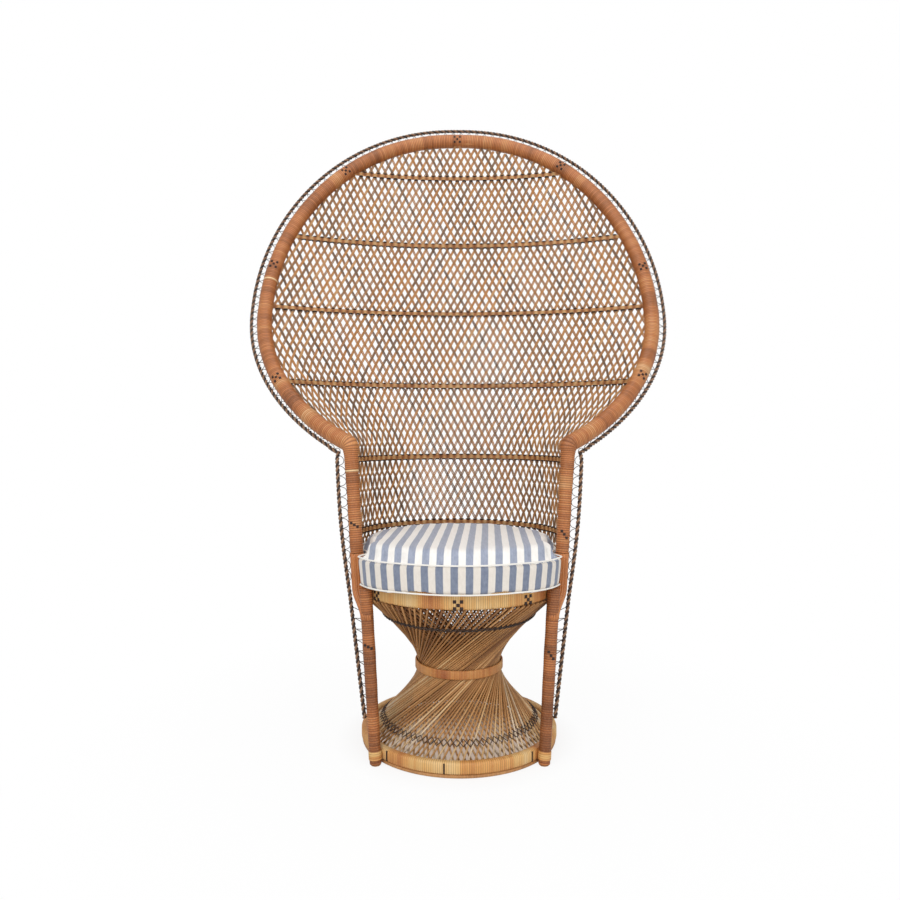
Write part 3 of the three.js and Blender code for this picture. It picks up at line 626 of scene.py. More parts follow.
def add_patch(bm, centre, along, out, length, width):
    """A small patch of dark cane that lies on a surface, with its length along and its face out."""
    along = along.normalized()
    out = (out - along * out.dot(along)).normalized()
    turn = Matrix((along, along.cross(out), out)).transposed().to_4x4()
    scale = Matrix.Diagonal((length, width, MARK_THICKNESS, 1))
    made = bmesh.ops.create_cube(bm, size=1, matrix=Matrix.Translation(centre) @ turn @ scale)
    edges = {edge for vert in made["verts"] for edge in vert.link_edges}
    bmesh.ops.bevel(bm, geom=list(edges), offset=MARK_BEVEL, affect="EDGES", segments=2, profile=0.5,
                    material=-1)


CROSS_DOTS = [(0, 0), (1, 1), (1, -1), (-1, 1), (-1, -1)]
SLANT_DOTS = [(-1, -1), (0, 0), (1, 1)]
POLE_MARK = (0.0054, 0.0056)


def marks_on_pole(bm, centre, along, radius, dots, rise, step):
    """Dark patches woven into a winding, laid out along the pole and round it."""
    along = along.normalized()
    front = Vector((0, -1, 0))
    front = (front - along * front.dot(along)).normalized()
    sideways = front.cross(along)
    for up, across in dots:
        turn = across * step / radius
        out = front * math.cos(turn) + sideways * math.sin(turn)
        add_patch(bm, centre + along * up * rise + out * radius, along, out, *POLE_MARK)


# Frame of the back
def pole_radius(height):
    return between(POLE_FOOT_RADIUS, POLE_TOP_RADIUS, height / SHOULDER_HEIGHT)


def contact(hoop_radius, azimuth, height):
    return on_circle(hoop_radius + CLEAR + pole_radius(height), azimuth, height)


FOOT_CONTACT_HEIGHT = middle_of(base_box).z
SEAT_CONTACT_HEIGHT = middle_of(seat_box).z
foot_contact = contact(BASE_RADIUS, LEG_FOOT_AZIMUTH, FOOT_CONTACT_HEIGHT)
leg_contact = contact(SEAT_RADIUS, LEG_TOP_AZIMUTH, SEAT_CONTACT_HEIGHT)
post_contact = contact(SEAT_RADIUS, POST_AZIMUTH, POST_FOOT)


def flipped(point, side):
    return Vector((side * point.x, point.y, point.z))


def leg_point(height, side=1):
    share = (height - FOOT_CONTACT_HEIGHT) / (SEAT_CONTACT_HEIGHT - FOOT_CONTACT_HEIGHT)
    return flipped(between(foot_contact, leg_contact, share), side)


def post_point(height, side=1):
    rise = height - POST_FOOT
    return flipped(post_contact + Vector((POST_SPLAY, POST_LEAN, 1)) * rise, side)


shoulder = post_point(SHOULDER_HEIGHT)
SHOULDER_TURN = math.pi - math.asin(shoulder.x / FAN_HALF_WIDTH)
FAN_DROP = (SHOULDER_HEIGHT - FAN_WIDEST) / math.cos(SHOULDER_TURN)


def fan_point(turn):
    height = math.cos(turn)
    lean = (abs(turn) / SHOULDER_TURN) ** FAN_LEAN_POWER
    return Vector((
        FAN_HALF_WIDTH * math.sin(turn),
        between(AXIS_Y + FAN_TOP_DEPTH, shoulder.y, lean),
        FAN_WIDEST + height * (FAN_RISE if height > 0 else FAN_DROP),
    ))


FAN_STATIONS = 400
UNEVENNESS = 0.0002
SHORT_WAY = 0.01  # along a pole or round the hoop, to find its direction there
WRAP_PITCH = 0.0048
ELBOW_PITCH = 0.0044
FOOT_PITCH = 0.0042
WINDING_SIDES = 16
WINDING_END = SHOULDER_TURN * WINDING_END_SHARE
ELBOW_REACH = 0.008  # from the shoulder to where its bend starts
FOOT_CANES = 16
FOOT_CANE_RADIUS = 0.0030
FOOT_CANE_REACH = 0.0008  # past the radius of the post
FOOT_CANES_BOTTOM = POST_FOOT - 0.040
OVER_HOOP = SEAT_TOP + 0.001  # where the canes on the hoop's side end
ONTO_LEG = (POST_FOOT + 0.012, FOOT_CANES_BOTTOM + 0.006)  # where they leave the post and meet the leg
LEG_WINDING_BOTTOM = 0.002
LEG_WINDING_TOP = LEG_TOP + 0.0012
LEG_ROUNDING = 0.0075  # over which a leg's top is rounded, from a little below it
LEG_ROUNDING_DROP = 0.005
LEG_ROUNDING_SHARE = 0.45
FOOT_LASHING_ENDS = (0.011, 0.028)
FOOT_LASHING_WALL = 0.0014
ELBOW_GROWTH = (0.625, 0.648)  # heights between which the elbow thickens to the hoop
FAN_CROSS_STEP = 0.0072
PALE_FAN_TURN = math.radians(-81.7)
PALE_POST_HEIGHT = 0.592
CROSS_TURNS = [math.radians(a) for a in (-119.5, -77.2, -39.2, 0, 36, 77.9, 118.4)]
SLANT_MARKS = [  # side, pole, height, and how far each patch lies below and beside the one before
    (-1, "post", 0.480, 0.0040, 0.0066), (-1, "leg", 0.237, 0.0036, 0.0068),
    (1, "post", 0.460, 0.0068, 0.0054), (1, "leg", 0.220, 0.0066, 0.0050),
]


def wobble(place):
    """The slight unevenness of a hand-wound pole."""
    return UNEVENNESS * math.sin(place * 37) + UNEVENNESS * math.sin(place * 91)


def elbow_line(side):
    """Up the top of a post and round the shoulder on to the hoop."""
    drop = (shoulder - post_point(POST_TOP)).normalized() * ELBOW_REACH
    up = [post_point(z) for z in np.linspace(POST_WINDING_TOP, (shoulder - drop).z, 8)]
    over = [fan_point(t) for t in np.linspace(SHOULDER_TURN, WINDING_END, 40)]
    over = [p for p in over if (p - shoulder).length > ELBOW_REACH]
    bend = []
    for share in np.linspace(0, 1, 9)[1:-1]:
        first = up[-1].lerp(shoulder, share)
        bend.append(first.lerp(shoulder.lerp(over[0], share), share))
    return [flipped(p, side) for p in up + bend + over]


def fan_radius(point, place):
    return FAN_HOOP_RADIUS - CLEAR + wobble(place)


def elbow_radius(point, place):
    return between(pole_radius(point[2]) + 2 * CLEAR, FAN_HOOP_RADIUS, smooth_step(*ELBOW_GROWTH, point[2]))


def post_radius(point, place):
    return pole_radius(point[2]) + wobble(place)


def leg_radius(point, place):
    """A leg's radius, rounded over at its top."""
    rise = (point[2] - LEG_TOP + LEG_ROUNDING_DROP) / LEG_ROUNDING
    return post_radius(point, place) * math.sqrt(1 - min(max(rise, 0), 1) ** 2 * LEG_ROUNDING_SHARE)


def foot_radius(point, place):
    return pole_radius(point[2]) + FOOT_LASHING_WALL


def foot_canes(side):
    """Canes laid lengthwise round the foot of a post. The outer ones run down on to the leg."""
    runs = []
    for k in range(FOOT_CANES):
        angle = (k + 0.5) * math.tau / FOOT_CANES
        out = Vector((math.cos(angle), math.sin(angle), 0))
        inward = (Vector((0, AXIS_Y, POST_FOOT)) - post_point(POST_FOOT)).normalized()
        facing = out.dot(inward)
        bottom = OVER_HOOP if facing > 0.8 else POST_FOOT if facing > 0.3 else FOOT_CANES_BOTTOM
        line = []
        for z in np.linspace(bottom, FOOT_CANES_TOP, 16):
            reach = pole_radius(z) + FOOT_CANE_REACH - FOOT_CANE_RADIUS
            onto_leg = smooth_step(*ONTO_LEG, z)
            middle = between(post_point(z), leg_point(z), onto_leg)
            line.append(flipped(middle + out * reach, side))
        runs.append((np.array(line), FOOT_CANE_RADIUS, {"tone": rng.uniform(0.36, 0.58), "groove": 0.0}))
    return runs


def add_frame_windings():
    """The canes wound round the hoop, and round the posts, elbows, legs and feet of both sides."""
    fan_line = [fan_point(t) for t in np.linspace(-WINDING_END, WINDING_END, FAN_STATIONS)]
    fan = wound_run(fan_line, fan_radius, WRAP_PITCH, pale_places=[fan_point(PALE_FAN_TURN)])
    tube_piece("fan_winding", [fan], WINDING_SIDES, red_cane, "red_cane_wrap",
               replaces=["fan_hoop_binding"])
    for name, side in SIDES:
        post = [post_point(z, side) for z in (FOOT_CANES_TOP + CLEAR, POST_WINDING_TOP)]
        leg = [leg_point(z, side) for z in (LEG_WINDING_BOTTOM, LEG_WINDING_TOP)]
        foot = [leg_point(z, side) for z in FOOT_LASHING_ENDS]
        pale = [post_point(PALE_POST_HEIGHT, side)] if side < 0 else []
        for piece, node, material, slot, run in (
            ("post_winding", "post_binding", red_cane, "red_cane_wrap",
             wound_run(post, post_radius, WRAP_PITCH, 0.46, pale)),
            ("elbow_winding", "shoulder_lashing", red_cane, "red_cane_wrap",
             wound_run(elbow_line(side), elbow_radius, ELBOW_PITCH)),
            # The legs' low tone level, 0.32, is painted shade under the seat.
            ("leg_winding", "leg_binding", red_cane, "red_cane_wrap",
             wound_run(leg, leg_radius, WRAP_PITCH, 0.32)),
            ("foot_winding", "foot_lashing", tan_cane, "light_cane_wrap",
             wound_run(foot, foot_radius, FOOT_PITCH)),
        ):
            tube_piece(f"{name}_{piece}", [run], WINDING_SIDES, material, slot, replaces=[f"{name}_{node}"])
        tube_piece(f"{name}_foot_canes", foot_canes(side), 8, red_cane, "light_cane_wrap",
                   replaces=[f"{name}_seat_lashing"])


def add_frame_marks():
    """Crosses of dark cane round the hoop, and slanting rows on the posts and legs."""
    bm = bmesh.new()
    for turn in CROSS_TURNS:
        along = fan_point(turn + SHORT_WAY) - fan_point(turn - SHORT_WAY)
        marks_on_pole(
            bm, fan_point(turn), along, FAN_HOOP_RADIUS, CROSS_DOTS, FAN_CROSS_STEP, FAN_CROSS_STEP)
    for side, pole, height, rise, step in SLANT_MARKS:
        point_at = post_point if pole == "post" else leg_point
        along = point_at(height + SHORT_WAY, side) - point_at(height, side)
        marks_on_pole(bm, point_at(height, side), along, pole_radius(height), SLANT_DOTS, rise, step)
    finished("frame_marks", closed_mesh("frame_marks", bm), dark_cane, "dark_twine")


# Hoops wound with flat cane
SEAT_CROSS_AZIMUTHS = [math.radians(a) for a in (-52, -1.2, 39.2)]
SEAT_CROSS_HEIGHT = SEAT_TOP - 0.026
SEAT_CROSS_STEP = 0.0068
SEAT_MARK = (0.0066, 0.0070)
MARK_SINK = 0.0002
BASE_JOINT_AZIMUTHS = [math.radians(a) for a in (-43.4, -8.5, 42.6)]
BASE_JOINT = (BASE_TOP - base_box[0].z - 0.004, 0.0034)
WAIST_WALL = 0.004
WAIST_CORNER = 0.0015
RAIL_WIDTH = 0.020
HOOP_PITCH = 0.0045
WAIST_PITCH = 0.0036
CORNER_CUT_SHARE = 0.3
FOOT_CORNER_SHARE = 0.4
FOOT_HOOP_STEPS = 160


def rounded_section(inner, outer, bottom, top, corner):
    """Corner points of a hoop's section as radius and height, with two points round each corner."""
    soft = corner * CORNER_CUT_SHARE
    return [
        (inner + corner, bottom), (outer - corner, bottom), (outer - soft, bottom + soft),
        (outer, bottom + corner), (outer, top - corner), (outer - soft, top - soft),
        (outer - corner, top), (inner + corner, top), (inner + soft, top - soft),
        (inner, top - corner), (inner, bottom + corner), (inner + soft, bottom + soft),
    ]


def spun_section(section, first, angle, steps):
    """A section spun round the axis, open as a ring or closed with caps as an arc."""
    whole = math.isclose(angle, math.tau)
    bm = bmesh.new()
    corners = [bm.verts.new(on_circle(r, first, z)) for r, z in section]
    ring = [bm.edges.new((corners[k - 1], corners[k])) for k in range(len(corners))]
    if not whole:
        bm.faces.new(corners)
    made = bmesh.ops.spin(
        bm, geom=corners + ring, cent=(0, AXIS_Y, 0), axis=(0, 0, 1), dvec=(0, 0, 0),
        angle=angle, steps=steps, use_merge=whole, use_duplicate=False,
    )
    if not whole:
        bm.faces.new([v for v in made["geom_last"] if isinstance(v, bmesh.types.BMVert)])
    return bm


def wound_hoop(name, section, pitch, level, drift, arc=None):
    """A hoop round the axis with a ridge for each turn of cane. An arc is its first and last azimuth."""
    radius = max(r for r, _ in section)
    first, last = arc or (0, math.tau)
    turns = round((last - first) * radius / pitch)
    steps = turns * len(RIDGE)
    bm = spun_section(section, first, last - first, steps)
    tone = bm.verts.layers.float.new("tone")
    groove = bm.verts.layers.float.new("groove")
    tones = turn_tones(turns, level, drift, HOOP_JITTER)
    heights = [z for _, z in section]
    centre_radius = sum(r for r, _ in section) / len(section)
    centre_height = (min(heights) + max(heights)) / 2
    for vert in bm.verts:
        azimuth = math.atan2(vert.co.x, AXIS_Y - vert.co.y)
        station = round(((azimuth - first) % math.tau) / (last - first) * steps)
        vert[tone] = tones[station // len(RIDGE) % turns]
        sink = RIDGE[station % len(RIDGE)]
        vert[groove] = float(sink < 0)
        centre = on_circle(centre_radius, azimuth, centre_height)
        vert.co += (vert.co - centre).normalized() * sink
    bmesh.ops.remove_doubles(bm, verts=bm.verts, dist=MERGE)
    return closed_mesh(name, bm)


def add_hoops():
    base = rounded_section(
        BASE_RADIUS - BASE_HOOP_WIDTH, BASE_RADIUS, base_box[0].z, BASE_TOP, HOOP_CORNER)
    seat = rounded_section(
        SEAT_RADIUS - SEAT_HOOP_WIDTH, SEAT_RADIUS, SEAT_BOTTOM, SEAT_TOP, HOOP_CORNER)
    waist_outer = (waist_box[1].x - waist_box[0].x) / 2
    waist = rounded_section(
        waist_outer - WAIST_WALL, waist_outer, waist_box[0].z, waist_box[1].z, WAIST_CORNER)
    rail_start = POST_AZIMUTH + math.asin((POLE_TOP_RADIUS + 2 * LASHING_WALL) / SEAT_RADIUS)
    rail_inner = SEAT_RADIUS + CLEAR
    rail = rounded_section(
        rail_inner, rail_inner + RAIL_WIDTH, rail_box[0].z, rail_box[1].z, HOOP_CORNER)
    arc = (rail_start, math.tau - rail_start)
    for name, node, section, pitch, level, drift, span in (
        ("base_hoop_winding", "base_hoop", base, HOOP_PITCH, 0.61, 0.4, None),
        ("seat_hoop_winding", "seat_hoop", seat, HOOP_PITCH, 0.54, 0.5, None),
        ("waist_winding", "waist_band", waist, WAIST_PITCH, 0.36, 0.15, None),
        ("back_rail_winding", "lower_back_rail", rail, WRAP_PITCH, 0.4, 0.4, arc),
    ):
        mesh = wound_hoop(name, section, pitch, level, drift, span)
        finished(name, mesh, tan_cane, "light_cane_wrap", replaces=[node])


def add_hoop_marks():
    """Crosses of dark cane on the seat hoop, and the dark joints of the base hoop's winding."""
    bm = bmesh.new()
    upright = Vector((0, 0, 1))

    def add_mark(radius, azimuth, height, size):
        out = on_circle(1, azimuth, 0) - on_circle(0, azimuth, 0)
        add_patch(bm, on_circle(radius - MARK_SINK, azimuth, height), upright, out, *size)

    for azimuth in SEAT_CROSS_AZIMUTHS:
        for up, across in CROSS_DOTS:
            turn = azimuth + across * SEAT_CROSS_STEP / SEAT_RADIUS
            add_mark(SEAT_RADIUS, turn, SEAT_CROSS_HEIGHT + up * SEAT_CROSS_STEP, SEAT_MARK)
    for azimuth in BASE_JOINT_AZIMUTHS:
        add_mark(BASE_RADIUS, azimuth, middle_of(base_box).z, BASE_JOINT)
    finished("hoop_marks", closed_mesh("hoop_marks", bm), dark_cane, "dark_twine")


def add_foot_hoop():
    """A bare bent cane under the base hoop, flat where it lies on the floor."""
    outer = (foot_box[1].x - foot_box[0].x) / 2
    height = foot_box[1].z - foot_box[0].z
    section = rounded_section(outer - FOOT_HOOP_WIDTH, outer, 0, height, height * FOOT_CORNER_SHARE)
    mesh = closed_mesh("foot_hoop_cane", spun_section(section, 0, math.tau, FOOT_HOOP_STEPS))
    finished("foot_hoop_cane", mesh, bare_pole, "bare_cane", replaces=["foot_hoop"])


# The hourglass
ROD_COUNT = 96
ROD_RADIUS = 0.0022
ROD_UNEVEN_SHARE = 0.16  # of the step between two rods
ROD_SWAY = 0.0004
INNER_STEP_AT_WAIST = 0.0052
INNER_STEP_AT_TOP = 0.010
ROD_PAINTED_LIGHT = np.array([0.4, 0.1, 0, -0.18, -0.2])  # painted light, from the foot of a rod to its top: a painted reflection of the bright floor low down, painted shade under the seat high up


class RodFamily:
    """Straight rods that pass the axis at the waist radius, from a foot to a top."""

    def __init__(self, waist, foot, top, turn):
        self.waist = waist
        self.foot = foot
        self.turn = turn
        self.lower = (foot[0] ** 2 - waist ** 2) / (foot[1] - WAIST_HEIGHT) ** 2
        self.upper = (top[0] ** 2 - waist ** 2) / (top[1] - WAIST_HEIGHT) ** 2

    def flare(self, height):
        return self.lower if height < WAIST_HEIGHT else self.upper

    def radius(self, height):
        return math.sqrt(self.waist ** 2 + self.flare(height) * (height - WAIST_HEIGHT) ** 2)

    def point(self, height, start):
        travel = math.sqrt(self.flare(height)) * (height - WAIST_HEIGHT)
        angle = start + self.turn * math.atan2(travel, self.waist)
        radius = self.radius(height)
        return Vector((radius * math.cos(angle), AXIS_Y + radius * math.sin(angle), height))


BASE_INNER = BASE_RADIUS - BASE_HOOP_WIDTH
OUTER_FOOT = (BASE_INNER - CLEAR - 0.0024, BASE_TOP - 0.0067)  # radius and height
INNER_FOOT = (BASE_INNER - 0.0053, BASE_TOP - 0.0128)
OUTER_TOP = (SEAT_RADIUS - 0.0054, SEAT_BOTTOM - 0.007)
INNER_TOP = (OUTER_TOP[0] - INNER_STEP_AT_TOP, OUTER_TOP[1])
outer_family = RodFamily(WAIST_RADIUS, OUTER_FOOT, OUTER_TOP, 1)
inner_family = RodFamily(WAIST_RADIUS - INNER_STEP_AT_WAIST, INNER_FOOT, INNER_TOP, -1)


def add_rods():
    for name, family in (("outer_rods", outer_family), ("inner_rods", inner_family)):
        heights = [family.foot[1], WAIST_HEIGHT * 0.55, WAIST_HEIGHT, WAIST_HEIGHT * 1.5, SEAT_BOTTOM]
        runs = []
        for k in range(ROD_COUNT):
            start = (k + rng.uniform(-ROD_UNEVEN_SHARE, ROD_UNEVEN_SHARE)) * math.tau / ROD_COUNT
            points = np.array([family.point(height, start) for height in heights])
            points[:, 2] += rng.uniform(-ROD_SWAY, ROD_SWAY) * np.array([0, 1, 0, 1, 0])
            radius = ROD_RADIUS * rng.uniform(0.8, 1.0)
            # The tone takes the painted light along the rod.
            runs.append((points, radius, {"tone": rng.beta(3, 3) + ROD_PAINTED_LIGHT}))
        tube_piece(f"{name}_canes", runs, 8, rod_reed, "rods", replaces=[name])


CROSS_PITCH = 0.013
LACING_STATIONS = 12
RING_SHAPES = {  # half height and wire radius
    "lower_twine_ring": (0.0054, 0.0009),
    "upper_twine_ring": (0.0036, 0.0014),
}


def add_twine_rings():
    """Dark twine laced over the rods in a chain of crosses."""
    for name, box in (("lower_twine_ring", lower_ring_box), ("upper_twine_ring", upper_ring_box)):
        half_height, wire = RING_SHAPES[name]
        middle = middle_of(box).z
        around = math.tau * outer_family.radius(middle)
        waves = round(around / CROSS_PITCH / 2)
        count = waves * LACING_STATIONS
        runs = []
        for sign in (-1, 1):
            points = []
            for k in range(count):
                azimuth = k * math.tau / count
                swing = math.asin(math.sin(azimuth * waves)) / (math.pi / 2) * sign
                height = middle + swing * half_height
                over = wire * (1 + math.cos(azimuth * waves) * sign)
                points.append(on_circle(outer_family.radius(height) + ROD_RADIUS + over, azimuth, height))
            runs.append((np.array(points), wire, PLAIN))
        tube_piece(f"{name}_lacing", runs, 6, dark_twine, "dark_twine", cyclic=True, replaces=[name])


# The back
PITCH = 0.0191  # from diamond to diamond across
ROW = 0.036  # and up
LEVEL_STEP = ROW / 4
REED_RADIUS = 0.0016
REED_SPREAD_SHARE = 1.02
WEAVE_DEPTH = 0.0017  # how far a strand bows out as it passes over another
RAIL_TOP = SEAT_TOP
TUCK = 0.011  # how far strands reach into the frame
WEAVE_TOP = FAN_WIDEST + FAN_RISE - 0.006
NARROW_SHARE = 0.94  # of the pitch, where the diamonds are narrowest
NARROW_HEIGHTS = (0.62, 0.9)
STRAND_DRIFT = 0.0008
THICKNESS_HEIGHTS = [0.5, 1.0]
THICKNESS_SHARES = [0.88, 1.04]
PARTED_AT = CROWN_START * 0.8  # strands that start below this are a piece of their own


def lashed(height):
    """How much thicker the frame is at the elbow and at the foot of a post."""
    elbow_top = fan_point(WINDING_END).z
    return LASHING_WALL if POST_WINDING_TOP < height < elbow_top or height < FOOT_CANES_TOP else 0


def frame_at(height):
    """The middle of the right-hand frame at a height, on the post or on the fan hoop."""
    if height < SHOULDER_HEIGHT:
        return post_point(height)
    rise = FAN_RISE if height > FAN_WIDEST else FAN_DROP
    return fan_point(math.acos(min(max((height - FAN_WIDEST) / rise, -1), 1)))


class Level:
    """The back's arc at one height, from frame to frame through the middle of the back."""

    fan_samples = [fan_point(t) for t in np.linspace(0, SHOULDER_TURN, 700)]
    post_samples = [post_point(z) for z in np.linspace(POST_FOOT, POST_TOP, 300)]
    samples = np.array([[*p, FAN_HOOP_RADIUS + lashed(p.z)] for p in fan_samples]
                       + [[*p, pole_radius(p.z) + lashed(p.z)] for p in post_samples])

    def __init__(self, height):
        self.height = height
        level = min(height, CROWN_START)
        edge = frame_at(level)
        lean = (FAN_TOP_DEPTH - BACK_FOOT_DEPTH) / (FAN_WIDEST + FAN_RISE - RAIL_TOP)
        middle = AXIS_Y + BACK_FOOT_DEPTH + lean * (level - RAIL_TOP)
        depth = middle - edge.y
        self.radius = (edge.x ** 2 + depth ** 2) / (2 * depth)
        if height <= CROWN_START:
            self.centre = middle - self.radius
            reach = math.atan2(edge.x, self.radius - depth)
        else:
            rim = frame_at(height)
            self.centre = rim.y - math.sqrt(self.radius ** 2 - rim.x ** 2)
            reach = math.asin(rim.x / self.radius)
        self.squeeze = between(NARROW_SHARE, 1, smooth_step(*NARROW_HEIGHTS, height))
        self.open = self.open_turn(reach) * self.radius

    def at(self, along, lift=0.0):
        """A point at a length along the arc from the middle, lifted towards the sitter."""
        turn = along / self.radius
        reach = self.radius - lift
        return Vector((reach * math.sin(turn), self.centre + reach * math.cos(turn), self.height))

    def open_turn(self, reach):
        """How far the arc runs from the middle before it meets the frame, found by halving."""
        low, high = 0, reach
        for _ in range(18):
            turn = (low + high) / 2
            place = np.array(self.at(turn * self.radius))
            gaps = np.linalg.norm(self.samples[:, :3] - place, axis=1) - self.samples[:, 3]
            if gaps.min() > 0:
                low = turn
            else:
                high = turn
        return low


def strand_pair(points, normals):
    """Two reeds side by side along a strand's line."""
    sideways = unit(np.cross(normals, np.gradient(points, axis=0)))
    return [points + sideways * REED_RADIUS * sign * REED_SPREAD_SHARE for sign in (-1, 1)]


def strand_stretches(levels, column, direction, drift):
    """The stretches of one strand that lie inside the frame."""
    stretch = []
    for j, level in enumerate(levels):
        along = PITCH * level.squeeze * (column + direction * j / 4) + drift
        if abs(along) < level.open + TUCK:
            bow = math.cos(math.pi * j / 2) * direction * WEAVE_DEPTH
            stretch.append((level, along, bow))
        elif stretch:
            yield stretch
            stretch = []
    yield stretch


def add_weave(levels):
    widest = max(level.open for level in levels)
    reach = math.ceil(widest / PITCH + len(levels) / 4) + 1
    weave_nodes = [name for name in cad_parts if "_weave_" in name]
    for direction, name, tone_range in (
        (1, "weave_leaning_right", (0.25, 1.0)), (-1, "weave_leaning_left", (0.0, 0.75)),
    ):
        parts = {"lower": [], "upper": []}
        for column in range(-reach, reach + 1):
            tone = between(*tone_range, rng.beta(1.5, 1.5))
            drift = rng.uniform(-STRAND_DRIFT, STRAND_DRIFT)
            for stretch in strand_stretches(levels, column, direction, drift):
                if len(stretch) < 3:
                    continue
                points = np.array([level.at(along, bow) for level, along, bow in stretch])
                turns = np.array([along / level.radius for level, along, _ in stretch])
                normals = np.column_stack([-np.sin(turns), -np.cos(turns), np.zeros(len(turns))])
                part = "lower" if stretch[0][0].height < PARTED_AT else "upper"
                thickness = REED_RADIUS * np.interp(points[:, 2], THICKNESS_HEIGHTS, THICKNESS_SHARES)
                for line in strand_pair(points, normals):
                    marks = {"tone": np.clip(tone + rng.uniform(-0.15, 0.15), 0, 1)}
                    parts[part].append((line, thickness * rng.uniform(0.92, 1.06), marks))
        for part, runs in parts.items():
            tube_piece(f"{name}_{part}", runs, 6, weave_reed, "reed_weave", replaces=weave_nodes)


BAND_REED_RADIUS = 0.00175
BAND_REEDS = 3
BAND_REED_STEP = BAND_REED_RADIUS * 1.9
BAND_TUCK = TUCK * 0.7
BAND_HEIGHTS = [1.378, 1.187, 0.992, 0.796, 0.612, 0.447]
BAND_LIFT = 0.0050
STITCH_RISE = 0.0056  # from the middle of a band to its stitches
STITCH_LENGTH = 0.0090
STITCH_RADIUS = 0.0020
STITCH_SHAPE = [  # place along a stitch as a share of it, and how far it stands off the weave
    (-0.5, 0.0012), (-0.34, 0.0056), (0, 0.0068), (0.34, 0.0056), (0.5, 0.0012),
]
BAND_WAVE = 0.0005  # how far a band's reeds rise over each crossing
BAND_STATIONS = 6  # to a diamond


def band_reeds(height, number):
    """Reeds that lie over the crossings, each crossing with a tone of its own."""
    runs = []
    for row in range(BAND_REEDS):
        level = Level(height + (row - (BAND_REEDS - 1) / 2) * BAND_REED_STEP)
        end = level.open + BAND_TUCK
        places = np.linspace(-end, end, round(2 * end / PITCH * BAND_STATIONS))
        points, tones = [], []
        for place in places:
            wave = math.cos(math.tau * place / PITCH / level.squeeze)
            points.append(level.at(place, BAND_LIFT + BAND_WAVE * wave))
            cell = noise.noise(Vector((math.floor(place / PITCH) * 0.7, row * 0.4, number * 3.1)))
            tones.append(0.52 + 0.4 * wave + 0.4 * cell)
        runs.append((np.array(points), BAND_REED_RADIUS, {"tone": np.clip(tones, 0, 1)}))
    return runs


def band_stitches(level, rise, offset):
    """Short dark stitches in front of a band's edge, one for each diamond."""
    edge = Level(level + rise)
    pitch = PITCH * edge.squeeze
    reach = math.ceil(edge.open / pitch)
    runs = []
    for k in range(-reach, reach + 1):
        along = pitch * (k + offset)
        if abs(along) > edge.open - STITCH_LENGTH / 2:
            continue
        length = STITCH_LENGTH * rng.uniform(0.8, 1.1)
        points = [edge.at(along + share * length, lift) for share, lift in STITCH_SHAPE]
        runs.append((np.array(points), STITCH_RADIUS * rng.uniform(0.85, 1.1), PLAIN))
    return runs


def add_bands():
    """Each band is a row of reeds with dark stitches over the crossings along both its edges."""
    for number, height in enumerate(BAND_HEIGHTS, 1):
        name = f"back_band_{number}"
        tube_piece(f"{name}_reeds", band_reeds(height, number), 8, band_reed, "light_cane_wrap",
                   replaces=[name])
        stitches = band_stitches(height, -STITCH_RISE, 0) + band_stitches(height, STITCH_RISE, 0.5)
        tube_piece(f"{name}_stitches", stitches, 6, dark_cane, "dark_twine")


# The edge braid and its loops
TWIST_PITCH = 0.0172
LOOP_PITCH = 0.0225
LOOP_WIRE = 0.0007
LEG_LOOP_SHARE = 0.9
POST_LOOP_SHARE = 0.1
TWIST_STATIONS = 10  # to a turn of the braid
STRAND_OFFSET = BRAID_RADIUS * 0.47
STRAND_RADIUS = BRAID_RADIUS * 0.56
LEG_STATIONS = 20
POST_STATIONS = 40
TIED_STATIONS = 34
EDGE_STATIONS = 240
BRAID_OPENING_SHARES = (0.05, 0.32)  # of the way up the fan, where the braid moves off the hoop


def beside(centre, radius, gap):
    return centre + Vector((radius + gap + BRAID_RADIUS, BRAID_BEHIND, 0))


braid_foot = beside(leg_point(BRAID_FOOT_HEIGHT), pole_radius(BRAID_FOOT_HEIGHT), BRAID_FOOT_GAP)
braid_seat = beside(post_point(POST_FOOT), pole_radius(POST_FOOT) + LASHING_WALL, BRAID_SEAT_GAP)
braid_top = beside(
    post_point(BRAID_TOP_HEIGHT), pole_radius(BRAID_TOP_HEIGHT) + LASHING_WALL, BRAID_POST_TOP_GAP)


def leg_station(share):
    """The frame's middle, the braid's middle, and the frame's radius, part of the way up a leg."""
    braid = between(braid_foot, braid_seat, share)
    return leg_point(braid.z), braid, pole_radius(braid.z)


def post_station(share):
    braid = between(braid_seat, braid_top, share) + Vector((BRAID_BOW * math.sin(math.pi * share), 0, 0))
    return post_point(braid.z), braid, pole_radius(braid.z) + lashed(braid.z)


def fan_station(share):
    turn = between(SHOULDER_TURN * BRAID_START_SHARE, 0, share)
    before = fan_point(turn - SHORT_WAY)
    after = fan_point(turn + SHORT_WAY)
    outward = Vector((before.z - after.z, 0, after.x - before.x)).normalized()
    side = between(BRAID_GAP_TOP, BRAID_GAP_SIDES, math.sin(turn) ** 2)
    gap = between(BRAID_GAP_SHOULDER, side, smooth_step(*BRAID_OPENING_SHARES, share))
    centre = fan_point(turn)
    radius = FAN_HOOP_RADIUS + lashed(centre.z)
    braid = centre + outward * (radius + gap + BRAID_RADIUS)
    braid.y += BRAID_BEHIND
    return centre, braid, radius


def with_other_side(right):
    """Stations of the +X side up to the top of the fan, and down the other side."""
    left = [(flipped(centre, -1), flipped(braid, -1), radius) for centre, braid, radius in right[:-1]]
    return right + left[::-1]


